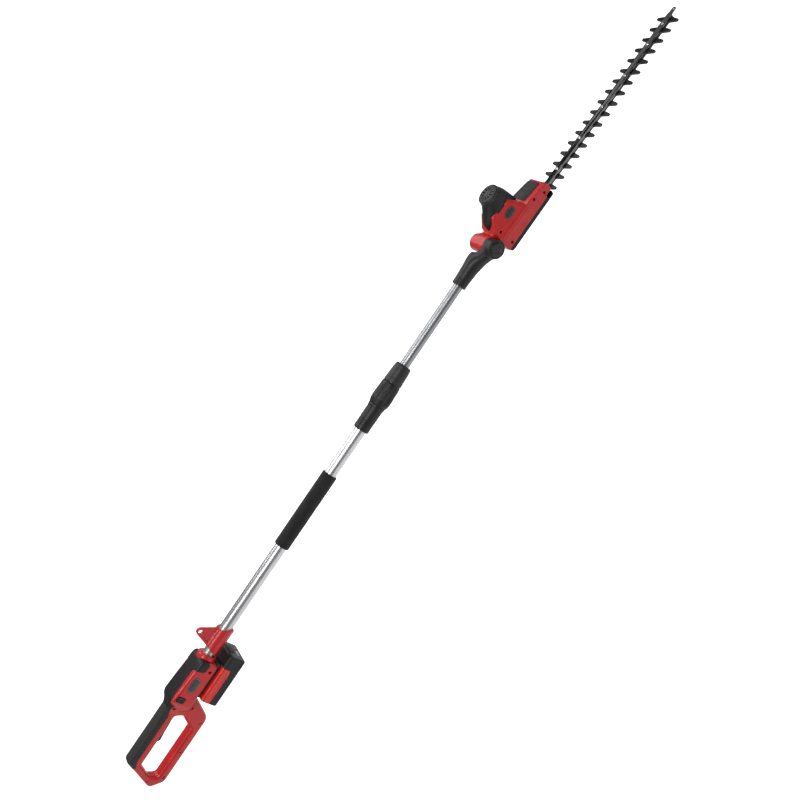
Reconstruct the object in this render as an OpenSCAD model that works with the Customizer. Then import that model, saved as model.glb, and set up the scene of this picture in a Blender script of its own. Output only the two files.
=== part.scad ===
// Telescopic battery pole hedge trimmer.
// Millimetres. +X runs along the pole towards the blades, +Z is up (battery side down), +Y is left.
// The origin is the centre of the shoulder-strap eye; the pole's axis lies eye_h below it.
// Modules are drawn about the pole's axis and moved down by eye_h at the end of the file.
// Suffixes: _r radius, _h height, _x and _z places along an axis, _half half a size.

/* [Pole] */
// Outside radius of the lower tube
tube_r = 13.4; // [12.8:0.1:14]
// Outside radius of the upper tube
inner_r = 11; // [10.5:0.1:11]
// Wall of both tubes
tube_wall = 1.2; // [1:0.1:1.2]
// Radius of the foam sleeve on the lower tube
foam_r = 17.3; // [16:0.1:19]
// Start of the foam sleeve along the pole
foam_x = 243; // [150:1:300]
// Length of the foam sleeve
foam_len = 187; // [150:1:200]
// Height of the strap eye over the pole's axis
eye_h = 47; // [44:1:50]
// Radius of the strap eye
eye_r = 5.5; // [4:0.1:6]

/* [Rear unit] */
// Half thickness of the loop handle
handle_half = 15; // [14:0.5:16]
// Height of the handle's top over the pole's axis
handle_top = 20; // [18:0.5:21]
// Depth of the handle's underside below the pole's axis
handle_bottom = 88; // [84:1:92]
// Half width of the battery pack
battery_half = 35.5; // [34:0.5:37]
// Underside of the battery pack below the pole's axis
battery_bottom = 73; // [72:0.5:76]

/* [Cutting head] */
// Tilt hinge position along the pole
pivot_x = 1019; // [1010:1:1030]
// Droop of the head at rest, degrees
droop = 2; // [0:0.5:3]
// Tooth pitch of the blades
pitch = 27.3; // [26:0.1:27.3]
// Half length from blade centre line to tooth tip
tooth_half = 33; // [28:0.5:34]
// Half width of the blade's spine
spine_half = 10; // [9.5:0.1:11]
// Throw of each eccentric (half the blade stroke)
throw = 8; // [7:0.5:8]

/* [Gears] */
// Gear module
gear_module = 1; // [0.9:0.05:1]
// Teeth of the drive gear
gear_teeth = 44; // [42:1:44]
// Teeth of the motor pinion
pinion_teeth = 12; // [11:1:12]

/* [Hidden] */
$fn = 64;

red = [0.78, 0.09, 0.09];
black = [0.14, 0.14, 0.15];
deep_black = [0.1, 0.1, 0.1];
pack_black = [0.1, 0.1, 0.11];
cable_black = [0.05, 0.05, 0.05];
steel = [0.6, 0.6, 0.62];
dark_steel = [0.55, 0.55, 0.57];
bright_steel = [0.7, 0.7, 0.72];

right = -1;
left = 1;
fit = 0.05;  // radial gap between a part and its bore
far = 1500;  // beyond everything along X

// ---------- 2D and 3D helpers ----------

// Arc that rounds a corner between its two neighbours, as steps+1 points
function fillet(before, corner, after, radius, steps) =
  let (back = (before - corner) / norm(before - corner),
       ahead = (after - corner) / norm(after - corner),
       angle = acos(max(-1, min(1, back * ahead))),
       trim = radius / tan(angle / 2),
       middle = (back + ahead) / norm(back + ahead),
       centre = corner + middle * (radius / sin(angle / 2)),
       first = corner + back * trim - centre,
       last = corner + ahead * trim - centre,
       start = atan2(first[1], first[0]),
       sweep = ((atan2(last[1], last[0]) - start + 540) % 360) - 180)
  [for (i = [0:steps])
    let (turn = start + sweep * i / steps) centre + radius * [cos(turn), sin(turn)]];

function flat(point) = [point[0], point[1]];

// Closed outline with rounded corners; each corner is [x, y, radius]
function rounded(corners, steps = 5) =
  let (count = len(corners))
  [for (i = [0:count - 1])
    let (before = flat(corners[(i + count - 1) % count]),
         corner = flat(corners[i]),
         after = flat(corners[(i + 1) % count]),
         radius = corners[i][2])
    each (radius > 0 ? fillet(before, corner, after, radius, steps) : [corner])];

// Corners of one edge at -Y, followed by their mirror images at +Y in reverse order
function symmetric(edge) = concat(edge,
  [for (i = [len(edge) - 1:-1:0]) [edge[i][0], -edge[i][1], edge[i][2]]]);

function round_rect(width, height, radius) =
  let (x = width / 2, y = height / 2)
  rounded([[-x, -y, radius], [x, -y, radius], [x, y, radius], [-x, y, radius]]);

// Extrudes an X-Z outline along Y
module extrude_y(start, end) {
  translate([0, end, 0]) rotate([90, 0, 0]) linear_extrude(end - start) children();
}
module rod_x(start, end, radius) {
  translate([start, 0, 0]) rotate([0, 90, 0]) cylinder(h = end - start, r = radius);
}
module rod_y(start, end, radius, x = 0, z = 0) {
  translate([x, start, z]) rotate([-90, 0, 0]) cylinder(h = end - start, r = radius);
}
module rod_z(start, end, radius, x = 0, y = 0) {
  translate([x, y, start]) cylinder(h = end - start, r = radius);
}
// Box from its lowest to its highest corner
module box(low, high) { translate(low) cube(high - low); }
// Solid of revolution about X from a profile of [x, radius] points
module turned(profile) {
  rotate([0, 90, 0]) rotate_extrude() polygon([for (point = profile) [point[1], point[0]]]);
}
// Coil along +Z from z = 0, as stacked rings joined on alternate sides
module coil(radius, wire, rise, turns) {
  for (i = [0:turns])
    translate([0, 0, i * rise])
      rotate_extrude($fn = 32) translate([radius, 0]) circle(r = wire, $fn = 16);
  for (i = [0:turns - 1])
    translate([(i % 2 == 0 ? radius : -radius), 0, i * rise])
      cylinder(h = rise, r = wire * 0.7, $fn = 16);
}
// Hull of spheres mirrored across the middle plane; each ball is [x, y, z, radius]
module ball_hull(balls, grow) {
  hull() for (ball = balls) for (s = [right, left])
    translate([ball[0], s * ball[1], ball[2]]) sphere(r = ball[3] + grow, $fn = 20);
}
// Keeps one half of the body
module keep_half(s) {
  intersection() {
    children();
    translate([-far, s < 0 ? -200 : 0, -200]) cube([3 * far, 200, 400]);
  }
}
// Puts a 2D shape on a side face. spot is a point of the right face, lean and turn are its
// angles about X and Z, and start and end are measured outwards from it.
module on_face(s, spot, lean, turn, start, end) {
  mirror([0, s > 0 ? 1 : 0, 0]) translate(spot) rotate([lean, 0, 0]) rotate([0, 0, turn])
    translate([0, -start, 0]) rotate([90, 0, 0]) linear_extrude(end - start) children();
}
// Six-cornered label: half length and height, the shoulders' distances from its middle,
// and the radii of tips and shoulders
module label(length, height, near, away, tip_r, shoulder_r, grow) {
  x = length + grow;
  y = height + grow;
  polygon(rounded([[-x, 0, tip_r], [-near, y, shoulder_r], [away, y, shoulder_r],
                   [x, 0, tip_r], [near, -y, shoulder_r], [-away, -y, shoulder_r]], 6));
}

// Screws that join the halves of a case along Y, heads on the right; spots are [x, z]
case_screw_r = 1.5;
case_screw_end = 9;  // half length of the shank
module case_screws(spots) {
  for (p = spots) {
    rod_y(-case_screw_end, case_screw_end, case_screw_r, p[0], p[1]);
    difference() {
      rod_y(-11.5, -case_screw_end, 2.9, p[0], p[1]);
      rod_y(-12, -10.2, 1.3, p[0], p[1]);
    }
  }
}
module case_screw_holes(spots) {
  for (p = spots) {
    rod_y(-case_screw_end - 0.2, case_screw_end + 0.2, case_screw_r + fit, p[0], p[1]);
    rod_y(-60, -case_screw_end, 3.1, p[0], p[1]);
  }
}
module case_bosses(spots, radius) { for (p = spots) rod_y(-40, 40, radius, p[0], p[1]); }

// Head frame: pivot at the origin, blades along +X, drooped at rest
module at_head() { translate([pivot_x, 0, 0]) rotate([0, droop, 0]) children(); }

// ---------- Rear unit: loop handle, body, controls ----------

tube_start = -61;         // rear end of the lower tube
seat_x = tube_start - 1;  // rear end of the tube's seat
cover_x = -43;            // front of the top cover
trigger_x = -200;         // trigger's pin
trigger_z = -8;
trigger_pin_r = 2;
trigger_pin_half = 12.9;
lock_spot = [-144, 10];   // lock-off button, [x, z]
lock_size = [12, 18];
lock_gap = 0.3;           // round the button in its window
dock_x = [-126.6, -43.4];
dock_half = 25.6;
rail_x = [-126, -44];     // slide rail under the dock: a stem that ends in a wider foot
stem_half = 17;
rail_half = 21;
rail_z = [-36.6, -33.4];
dock_gap = 0.4;           // round the dock and its rail

// [x, z] of the screws through the housing
housing_screw_spots = [[-349, -46], [-330, -76], [-262, -76], [-185, -76],
                       [-172, 4], [-160, -36], [-64, -12]];
// Balls that span the convex body over the battery, [x, y, z, radius]
body_balls = [[-150, 17, 16, 14], [-59, 16, 6.5, 13.5], [-176, 6, 4, 11],
              [-164, 16, -18, 8], [-52, 24, -18, 8], [-140, 24, -18, 8]];

module handle_ring() {
  difference() {
    polygon(rounded([[-326, handle_top, 9], [-366, -62, 13], [-342, -handle_bottom, 18],
                     [-170, -handle_bottom, 22], [-131, -27, 3], [-131, 8, 3],
                     [-184, handle_top, 3]]));
    polygon(rounded([[-322, -14, 9], [-192, -14, 6], [-185, -31, 6],
                     [-206, -64, 9], [-335, -64, 9], [-341, -46, 6]]));
  }
}
// Slab of the handle, outline grown by grow
module handle_slab(thick_half, grow) {
  extrude_y(-thick_half, thick_half) offset(delta = grow) handle_ring();
}
// Stepped slabs that soften the handle's edges
module handle_solid(grow = 0) {
  handle_slab(handle_half - 7 + grow, grow);
  handle_slab(handle_half - 3.2 + grow, grow - 1.3);
  handle_slab(handle_half + grow, grow - 4.2);
}
module body_hull(grow = 0) { ball_hull(body_balls, grow); }

module rear_label(s, start, end, grow) {
  on_face(s, [-103, -30.6, 3.5], -3.2, -1, start, end) label(24, 9.4, 10, 12, 7, 12, grow);
}

module housing(s) {
  keep_half(s) difference() {
    union() {
      handle_solid();
      body_hull();
    }
    // hollow inside
    difference() {
      union() {
        handle_slab(handle_half - 4, -3.4);
        body_hull(-3);
      }
      case_bosses(housing_screw_spots, 4.2);
      // wall behind the tube's seat
      box([-66, -12, -24], [seat_x, 12, 22]);
    }
    // tube seat and front hole
    rod_x(seat_x, 0, tube_r + fit);
    // trigger slot and its pin
    box([-266, -6.3, -20], [-193.6, 6.3, -6]);
    rod_y(-trigger_pin_half - 0.2, trigger_pin_half + 0.2, trigger_pin_r + fit,
          trigger_x, trigger_z);
    // opening for the battery dock
    box([dock_x[0] - dock_gap, -dock_half - dock_gap, -40],
        [dock_x[1] + dock_gap, dock_half + dock_gap, -22.6]);
    // lock-off button's window, right side only
    if (s < 0) extrude_y(-60, -10) translate(lock_spot)
      polygon(round_rect(lock_size[0] + 2 * lock_gap, lock_size[1] + 2 * lock_gap,
                         3 + lock_gap));
    rear_label(s, -1.3, 8, 0.2);
    case_screw_holes(housing_screw_spots);
  }
}
module housing_right() { color(red) housing(right); }
module housing_left() { color(red) housing(left); }

module soft_grip() {
  color(black) intersection() {
    difference() {
      union() {
        handle_slab(handle_half - 5, 2.2);
        handle_slab(handle_half - 1.4, 0.9);
        handle_slab(handle_half + 1.6, -2);
      }
      handle_solid(0.03);
      body_hull(0.03);
    }
    extrude_y(-20, 20)
      polygon(rounded([[-345, 28, 2], [-333, -6, 6], [-316, 2, 8],
                       [-196, 2, 6], [-178, 10, 4], [-172, 28, 2]]));
  }
}

module top_cover() {
  color(black) intersection() {
    difference() {
      body_hull(1.8);
      body_hull(0.02);
      rod_x(-80, 0, tube_r + fit);
    }
    // upper part, and a band down both sides at the front
    union() {
      translate([0, 0, 9]) linear_extrude(40)
        polygon([[-178, -23.5], [cover_x, -17], [cover_x, 17], [-178, 23.5]]);
      extrude_y(-40, 40) polygon([[-76, 40], [-69, -1], [cover_x, -4], [cover_x, 40]]);
    }
    difference() {
      box([-200, -60, -60], [cover_x - 0.2, 60, 60]);
      // cleared where the soft grip ends
      extrude_y(-40, 40)
        polygon([[-210, 60], [-210, 0], [-176, 9.9], [-170, 28], [-169.4, 60]]);
    }
  }
}

module front_collar() {
  color(red) difference() {
    turned([[-51, 0], [-51, 22], [cover_x, 23], [-39, 21.5], [-37.3, 18.5], [-37.3, 0]]);
    rod_x(-60, 0, tube_r + fit);
    body_hull(1.85);
  }
}

module housing_screws() { color(steel) case_screws(housing_screw_spots); }

module rear_label_plates() {
  color(deep_black) for (s = [right, left]) rear_label(s, -1.1, 0.9, 0);
}

// Switch body, its plunger and two terminals
module trigger_switch() {
  color([0.2, 0.2, 0.22]) {
    extrude_y(-7, 7) translate([-240, 5]) polygon(round_rect(32, 13, 1));
    box([-250, -3, -2.3], [-243, 3, -1.4]);
    for (x = [-234, -228]) box([x, -1, 11.4], [x + 3, 1, 16]);
  }
}

module trigger_spring() {
  color(bright_steel) translate([-214, 0, -6.2])
    coil(radius = 2.6, wire = 0.5, rise = 1.6, turns = 5);
}

module trigger_pin() {
  color([0.75, 0.75, 0.77])
    rod_y(-trigger_pin_half, trigger_pin_half, trigger_pin_r, trigger_x, trigger_z);
}

module trigger() {
  thick_half = 5.9;
  color(black) difference() {
    union() {
      extrude_y(-thick_half, thick_half)
        polygon(rounded([[-263, -9.6, 1.5], [-264, -15, 3], [-256, -21, 4], [-232, -18.5, 20],
                         [-208, -17, 8], [-203, -13.2, 2], [-202, -9.6, 0]]));
      rod_y(-thick_half, thick_half, 5, trigger_x, trigger_z);
    }
    rod_y(-7, 7, trigger_pin_r + 0.06, trigger_x, trigger_z);
  }
}

// Button with a flange inside the housing
module lock_off_button() {
  color(black) {
    extrude_y(-34.6, -20) translate(lock_spot)
      polygon(round_rect(lock_size[0], lock_size[1], 3));
    extrude_y(-22, -20) translate(lock_spot)
      polygon(round_rect(lock_size[0] + 5, lock_size[1] + 5, 3));
  }
}

// Board with two upright cylinders and two flat components
module control_board() {
  board_top = 5.6;
  color([0.1, 0.35, 0.2]) box([-124, -15, 4], [-72, 15, board_top]);
  color([0.15, 0.15, 0.16]) {
    for (y = [-8, 8]) rod_z(board_top, 14, 4, -82, y);
    box([-112, -6, board_top], [-100, 6, 8]);
    box([-118, -12, board_top], [-108, -9, 7]);
  }
}

// Dock plate, slide rail and three contact blades
module battery_dock() {
  plate_z = [-28.6, -24.3];
  color(pack_black) {
    box([dock_x[0], -dock_half, plate_z[0]], [dock_x[1], dock_half, plate_z[1]]);
    box([rail_x[0], -stem_half, -34], [rail_x[1], stem_half, plate_z[0]]);
    box([rail_x[0], -rail_half, rail_z[0]], [rail_x[1], rail_half, rail_z[1]]);
  }
  color([0.8, 0.6, 0.3]) for (y = [-9, 0, 9])
    box([-61.5, y - 0.5, plate_z[1]], [-51.5, y + 0.5, -18]);
}

// Cable in the pole with a coiled stretch, its straight ends at the coil's lowest point
module power_cable() {
  coil_x = 300;
  coil_r = 5.4;
  rise = 11;
  turns = 6;
  color(cable_black) {
    translate([0, 0, -coil_r]) rod_x(-56, coil_x, 1.8);
    translate([coil_x, 0, 0]) rotate([90, 0, 0]) rotate([0, 90, 0])
      coil(coil_r, 2.2, rise, turns);
    translate([0, 0, -coil_r]) rod_x(coil_x + rise * turns, 690, 1.8);
  }
}

// ---------- Battery pack ----------

battery_x = [-129, -11];
bay_x = -126.4;          // rear of the cell bay
bay_half = 33;
nose_gap = 0.3;          // round the latch, lens and button in the nose
latch_half = 12;
latch_z = [-48.3, -35.7];
lens_y = [-16, 4];
button_y = [8, 16];
gauge_z = [-61, -57];    // lens and button

module battery_block() {
  translate([battery_x[0], 0, 0]) rotate([90, 0, 90])
    linear_extrude(battery_x[1] - battery_x[0])
      polygon(rounded([[-battery_half, -31, 8], [battery_half, -31, 8],
                       [battery_half, -battery_bottom, 7],
                       [-battery_half, -battery_bottom, 7]], 6));
}
// Pocket from x to the open front
module nose_pocket(x, y_range, z_range) {
  box([x, y_range[0] - nose_gap, z_range[0] - nose_gap],
      [-10, y_range[1] + nose_gap, z_range[1] + nose_gap]);
}

// Lower tray and full-height nose
module battery_case() {
  front = battery_x[1];
  color(pack_black) difference() {
    intersection() {
      battery_block();
      union() {
        box([-130, -60, -90], [-42, 60, -53]);
        extrude_y(-60, 60)
          polygon(rounded([[-48, -70, 0], [front, -battery_bottom - 1, 6], [front, -30, 9],
                           [-42, -30, 0], [-42, -53, 0], [-48, -54, 0]]));
        box([-42, -60, -90], [-17, 60, -50]);
      }
      extrude_y(-60, 60)
        polygon(rounded([[battery_x[0], -30, 2], [battery_x[0], -battery_bottom, 5],
                         [front, -battery_bottom, 6], [front, -30, 9]]));
    }
    // cell bay
    box([bay_x, -bay_half, -70.6], [-33.4, bay_half, -50]);
    nose_pocket(-38, [-latch_half, latch_half], latch_z);
    nose_pocket(-16, button_y, gauge_z);
    nose_pocket(-13, lens_y, gauge_z);
  }
}

module battery_cover() {
  channel_end = rail_x[1] + dock_gap;
  color(red) difference() {
    intersection() {
      battery_block();
      box([-130, -60, -52.9], [-42.1, 60, -30]);
      extrude_y(-60, 60)
        polygon(rounded([[battery_x[0], -31, 3], [battery_x[0], -battery_bottom, 5],
                         [-20, -battery_bottom, 6], [-20, -31, 0]]));
    }
    // cell bay
    box([bay_x, -bay_half, -54], [-42, bay_half, -40]);
    // slide rail's channel, open to the rear
    box([-131, -stem_half - dock_gap, -34], [channel_end, stem_half + dock_gap, -30]);
    box([-131, -rail_half - dock_gap, rail_z[0] - dock_gap],
        [channel_end, rail_half + dock_gap, rail_z[1] + dock_gap]);
  }
}

module battery_cells() {
  color([0.2, 0.45, 0.6]) for (k = [0:4]) rod_y(-32.5, 32.5, 9, -116.6 + 18.3 * k, -60.6);
}
module latch_spring() {
  color(bright_steel) translate([-37.4, 0, -42]) rotate([0, 90, 0])
    coil(radius = 3, wire = 0.4, rise = 1.2, turns = 3);
}
module gauge_lens() {
  color([0.85, 0.85, 0.8])
    box([-12.8, lens_y[0], gauge_z[0]], [-10.8, lens_y[1], gauge_z[1]]);
}
module battery_latch() {
  color(black) extrude_y(-latch_half, latch_half)
    polygon(rounded([[-30, latch_z[0], 1], [-8.6, latch_z[0], 2.5],
                     [-8.6, latch_z[1], 2.5], [-30, latch_z[1], 1]]));
}
module gauge_button() {
  color([0.75, 0.1, 0.1])
    box([-13.5, button_y[0], gauge_z[0]], [-9.8, button_y[1], gauge_z[1]]);
}

// ---------- Pole ----------

lower_end = 561;       // front end of the lower tube
upper_x = [150, 960];  // ends of the upper tube
lug_half = 36;         // half length of the strap lug
fin_half = 4.6;        // half thickness of its fin
lug_screw_r = 2;
lug_seat_z = -16.4;    // where the clamp screw's counterbore ends
pivot_r = 6;           // tilt hinge's bolt
detent_r = 16;         // detent ring

module tube(start, end, radius) {
  difference() {
    rod_x(start, end, radius);
    rod_x(start - 1, end + 1, radius - tube_wall);
  }
}
module lower_tube() { color([0.82, 0.82, 0.84]) tube(tube_start, lower_end, tube_r); }
module upper_tube() { color([0.62, 0.62, 0.65]) tube(upper_x[0], upper_x[1], inner_r); }

module strap_lug() {
  base_r = 18.2;
  crown_z = eye_h + 9.2;
  color(red) difference() {
    intersection() {
      union() {
        rod_x(-lug_half, lug_half, base_r);
        box([-lug_half, -9, -base_r], [lug_half, 9, -6]);
        box([-lug_half, -fin_half, 0], [lug_half, fin_half, 60]);
      }
      extrude_y(-30, 30)
        polygon(rounded([[-lug_half - 1, -18, 3], [lug_half + 1, -18, 3],
                         [5.5, crown_z, 7.5], [-5.5, crown_z, 7.5]], 8));
    }
    rod_x(-60, 60, tube_r + fit);
    rod_y(-20, 20, eye_r, 0, eye_h);
    // lightening pockets on both sides of the fin
    for (s = [right, left]) translate([0, s * fin_half, 0]) extrude_y(-1.8, 1.8)
      polygon(rounded([[-13, 21, 2], [13, 21, 2], [5, 37, 2], [-5, 37, 2]]));
    // clamp screw
    rod_z(-30, -10, lug_screw_r + fit);
    rod_z(-30, lug_seat_z, 4.2);
  }
}
module lug_screw() {
  color(dark_steel) {
    rod_z(-17.8, lug_seat_z - 0.1, 3.8);
    rod_z(lug_seat_z - 0.2, -tube_r - 0.1, lug_screw_r);
  }
}

module foam_grip() {
  foam_end = foam_x + foam_len;
  chamfer = 2;
  color(deep_black) difference() {
    turned([[foam_x, 0], [foam_x, foam_r - chamfer], [foam_x + chamfer, foam_r],
            [foam_end - chamfer, foam_r], [foam_end, foam_r - chamfer], [foam_end, 0]]);
    rod_x(0, 500, tube_r + fit);
  }
}

// Socket on the lower tube's end that holds the collet
module clamp_body() {
  color(black) difference() {
    turned([[545, 0], [545, 16.4], [547, 18], [600, 18], [607.5, 19.2],
            [607.5, 16.2], [650, 16.2], [650, 0]]);
    rod_x(540, lower_end + 1, tube_r + fit);
    rod_x(560, 602, inner_r + 0.6);
    rod_x(600, 660, 15.35);
  }
}

module clamp_collet() {
  color([0.85, 0.85, 0.82]) difference() {
    turned([[600.5, 0], [600.5, 15.2], [640, 15.2], [654, 13], [654, 0]]);
    rod_x(590, 670, inner_r + fit);
    // three cuts right across make six fingers
    for (a = [0, 60, 120]) rotate([a, 0, 0]) box([615, -20, -0.8], [670, 20, 0.8]);
  }
}

module clamp_nut() {
  color(black) difference() {
    turned([[608, 0], [608, 19.4], [611, 20.6], [620, 23.4], [626, 24], [633, 23.7],
            [655, 22], [662, 21.4], [664, 20.4], [664, 0]]);
    rod_x(600, 652, 16.45);
    rod_x(650, 700, 14);
    // six shallow finger flutes
    for (a = [0:60:300]) rotate([a, 0, 0]) translate([638, 0, 41.5]) rotate([0, 90, 0])
      cylinder(h = 44, r = 20, center = true);
  }
}

module clamp_collar() {
  color([0.18, 0.18, 0.19]) difference() {
    turned([[664.4, 0], [664.4, 13.6], [664.4, 20.2], [668, 20.8], [698, 19.2],
            [708, 18], [711, 16], [711, 0]]);
    rod_x(600, 720, inner_r + 0.3);
  }
}

// Bush between the tubes near the upper tube's rear end
module guide_bush() {
  color([0.15, 0.15, 0.15]) difference() {
    rod_x(upper_x[0] + 2, 186, tube_r - tube_wall - 0.06);
    rod_x(upper_x[0], 190, inner_r + fit);
  }
}

module head_coupling() {
  color(black) difference() {
    union() {
      turned([[915, 0], [915, 14.6], [917, 16.2], [935, 16.6], [975, 19.6],
              [984, 19.8], [989, 18.8], [992, 16], [992, 0]]);
      // arm that carries the knuckle on the pole's right side
      hull() {
        rod_x(960, 984, 17.8);
        rod_y(-39, -17.2, 19.2, pivot_x, 0);
      }
      translate([pivot_x, 0, 0]) rotate([0, 0, -90])
        turned([[16.2, 0], [16.2, 20.2], [38, 20.6], [42.5, 19.6], [44, 18], [44, 0]]);
    }
    // room for the head's barrel and web
    rod_y(-16.2, 60, 24, pivot_x, 0);
    rod_x(900, upper_x[1] + 2, inner_r + fit);
    // cable's hole
    rod_x(950, 985, 3.4);
    rod_y(-60, 20, pivot_r + fit, pivot_x, 0);
    // seat of the detent ring and recess of the cap
    rod_y(-19.6, -10, detent_r + 0.1, pivot_x, 0);
    rod_y(-60, -41, 15.6, pivot_x, 0);
  }
}

module detent_ring() {
  color(bright_steel) translate([pivot_x, 0, 0]) difference() {
    rod_y(-19.5, -16.4, detent_r);
    rod_y(-30, 20, 6.5);
    for (a = [0:15:345]) rotate([0, a, 0]) box([12.4, -18.2, -0.9], [17, -12, 0.9]);
  }
}
module cable_lead() { color(cable_black) rod_x(900, 984, 2.6); }

// ---------- Cutting head (drawn in the head's frame) ----------

gear_x = 106;          // drive gear's axis
motor_x = gear_x - gear_module * (gear_teeth + pinion_teeth) / 2;
hood_x = 82.5;         // axis of the motor cap
shaft_r = 6;           // drive gear's shaft
motor_shaft_r = 2.5;
tray_bottom = -43.4;   // underside of the base plate
tray_floor = -40.3;
tray_screw_r = 2;
bush_r = 9;
root_top = -30.4;      // top of the room for the blades' roots

// [x, z] of the screws through the shells
head_screw_spots = [[36, -28], [36, 8], [134, -10.5], [160, -22]];
// [x, y] of the screws up through the base plate
tray_screw_spots = [for (x = [40, 150]) for (y = [-22, 22]) [x, y]];

// Balls that span the head's lower body and its cheeks, [x, y, z, radius]
base_balls = [[24, 29, -37, 5], [173, 25, -37, 5], [24, 29, -5, 5], [116, 28, -5, 5],
              [173, 25, -13, 5], [110, 14, 0, 5], [171, 14, -11, 5]];
cheek_balls = [[24, 29, -8, 5], [108, 28.5, -8, 5], [30, 22, 17, 5],
               [46, 17.5, 38, 5], [94, 18.5, 33, 5], [104, 20, 14, 5]];
// Ovals that span the motor's hood, [x, z, half length, half width]
hood_ovals = [[hood_x, 65, 25.2, 24.4], [82, 50, 31, 25.2], [80, 14, 36, 25.6],
              [53, 27, 26, 21], [53, 14, 27, 22]];
// Posts that span the nose cover, [x, y, bottom z, height]
nose_posts = [[121, 21, -10, 14.2], [121, 12, -10, 17.2],
              [168, 18, -20, 13.6], [168, 11, -20, 16]];

module head_base(grow = 0) { ball_hull(base_balls, grow); }
module head_cheeks(grow = 0) { ball_hull(cheek_balls, grow); }
module hood_hull(grow = 0) {
  hull() for (oval = hood_ovals)
    translate([oval[0], 0, oval[1]]) scale([oval[2] + grow, oval[3] + grow, 1])
      cylinder(h = 0.5, r = 1, $fn = 48);
}
module head_label(s, start, end, grow) {
  on_face(s, [80, -29.35, 18], -9.6, 0, start, end) label(18, 9.5, 8, 9, 6, 10, grow);
}

module head_shell(s) {
  keep_half(s) difference() {
    union() {
      head_base();
      head_cheeks();
      // barrel of the tilt hinge and its web
      rod_y(s < 0 ? -15.5 : -5, s < 0 ? 5 : 38, 19.5);
      extrude_y(-15.2, 28)
        polygon([[-1, 18], [13, 15.8], [27.5, 5], [27.5, -32], [12.4, -18.3], [-1, -18]]);
    }
    // hollow inside
    difference() {
      union() {
        head_base(-3);
        head_cheeks(-3);
      }
      case_bosses(head_screw_spots, 4);
      box([19, -20, -30], [25, 20, 22]);
    }
    // hood passes through the top
    translate([0, 0, 0.4]) hood_hull(0.35);
    // room for the pole's knuckle
    rod_y(-60, -15.8, 21.6);
    rod_y(-30, 60, pivot_r + fit);
    // release button's bore
    if (s > 0) rod_y(15, 60, 16.2);
    // open underside over the base plate
    box([-100, -100, -60], [400, 100, -34.2]);
    // room for the blades' roots and first teeth
    box([158, -60, -41], [300, 60, root_top]);
    box([80, -26, -41], [170, 26, root_top]);
    head_label(s, -1.4, 8, 0.2);
    case_screw_holes(head_screw_spots);
  }
}
module head_shell_right() { color(red) at_head() head_shell(right); }
module head_shell_left() { color(red) at_head() head_shell(left); }

module nose_cover() {
  color(black) at_head() difference() {
    hull() for (s = [right, left]) for (post = nose_posts)
      translate([post[0], s * post[1], post[2]]) cylinder(h = post[3], r = 2.5, $fn = 24);
    head_base(0.02);
  }
}

// Tray under the shells, with an upright edge that shows along their sides
module base_plate() {
  color([0.12, 0.12, 0.13]) at_head() difference() {
    translate([0, 0, tray_bottom]) linear_extrude(9.1)
      polygon(rounded(symmetric([[23, -33, 6], [172, -29, 6], [177, -19, 4]])));
    translate([0, 0, tray_floor]) linear_extrude(20)
      polygon(rounded(symmetric([[26, -30.4, 4], [160, -27, 2]])));
    // open end for the blades
    box([157.6, -60, tray_floor], [300, 60, -20]);
    rod_z(-50, -30, bush_r + 0.06, gear_x, 0);
    for (p = tray_screw_spots) rod_z(-50, -30, tray_screw_r + 0.1, p[0], p[1]);
  }
}

module head_screws() {
  color(steel) at_head() {
    case_screws(head_screw_spots);
    for (p = tray_screw_spots) {
      rod_z(-45.2, tray_bottom, 3.6, p[0], p[1]);
      rod_z(tray_bottom - 0.2, tray_floor + 0.05, tray_screw_r, p[0], p[1]);
    }
  }
}

module pivot_bolt() {
  color([0.72, 0.72, 0.74]) at_head() {
    rod_y(-40, 22, pivot_r);
    rod_y(-40.9, -37.9, 5.9);
  }
}

// Cap over the hinge on the right
module pivot_cap() {
  color(black) at_head() difference() {
    rotate([0, 0, -90]) turned([[41.05, 0], [41.05, 15.5], [44.6, 15.5], [46, 14],
                                [46.4, 11], [46.4, 0]]);
    rod_y(-50, -45.6, 7);
  }
}

module release_spring() {
  color(bright_steel) at_head() translate([0, 34.6, 0]) rotate([90, 0, 0])
    coil(radius = 10.5, wire = 0.9, rise = 3, turns = 6);
}
// Button over the hinge on the left, with a ring groove for its spring
module release_button() {
  color(red) at_head() difference() {
    rotate([0, 0, 90]) turned([[24, 0], [24, 15.9], [40.5, 15.9], [43, 14], [44, 11], [44, 0]]);
    difference() {
      rod_y(20, 40, 12.4);
      rod_y(20, 41, 8.6);
    }
    rod_y(20, 34, 6.2);
  }
}

module head_label_plates() {
  color(deep_black) at_head() for (s = [right, left]) head_label(s, -1.2, 0.9, 0);
}

module motor_cover() {
  color(black) at_head() difference() {
    hood_hull();
    translate([0, 0, -1]) hood_hull(-2.4);
    box([0, -60, 0], [140, 60, 14.5]);
    rod_z(50, 80, 21.6, hood_x, 0);
    box([0, -60, 65.4], [140, 60, 80]);
  }
}
// Hollow cap with twelve radial slots
module motor_cap() {
  color([0.17, 0.17, 0.18]) at_head() translate([hood_x, 0, 0]) difference() {
    rotate_extrude()
      polygon([[0, 65.5], [24.4, 65.5], [24.4, 68.6], [23, 71.4], [21.4, 73], [0, 73]]);
    translate([0, 0, -0.01]) cylinder(h = 70.4, r = 21.8);
    for (a = [0:30:330]) rotate([0, 0, a]) box([9, -1.1, 60], [18, 1.1, 80]);
  }
}

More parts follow.
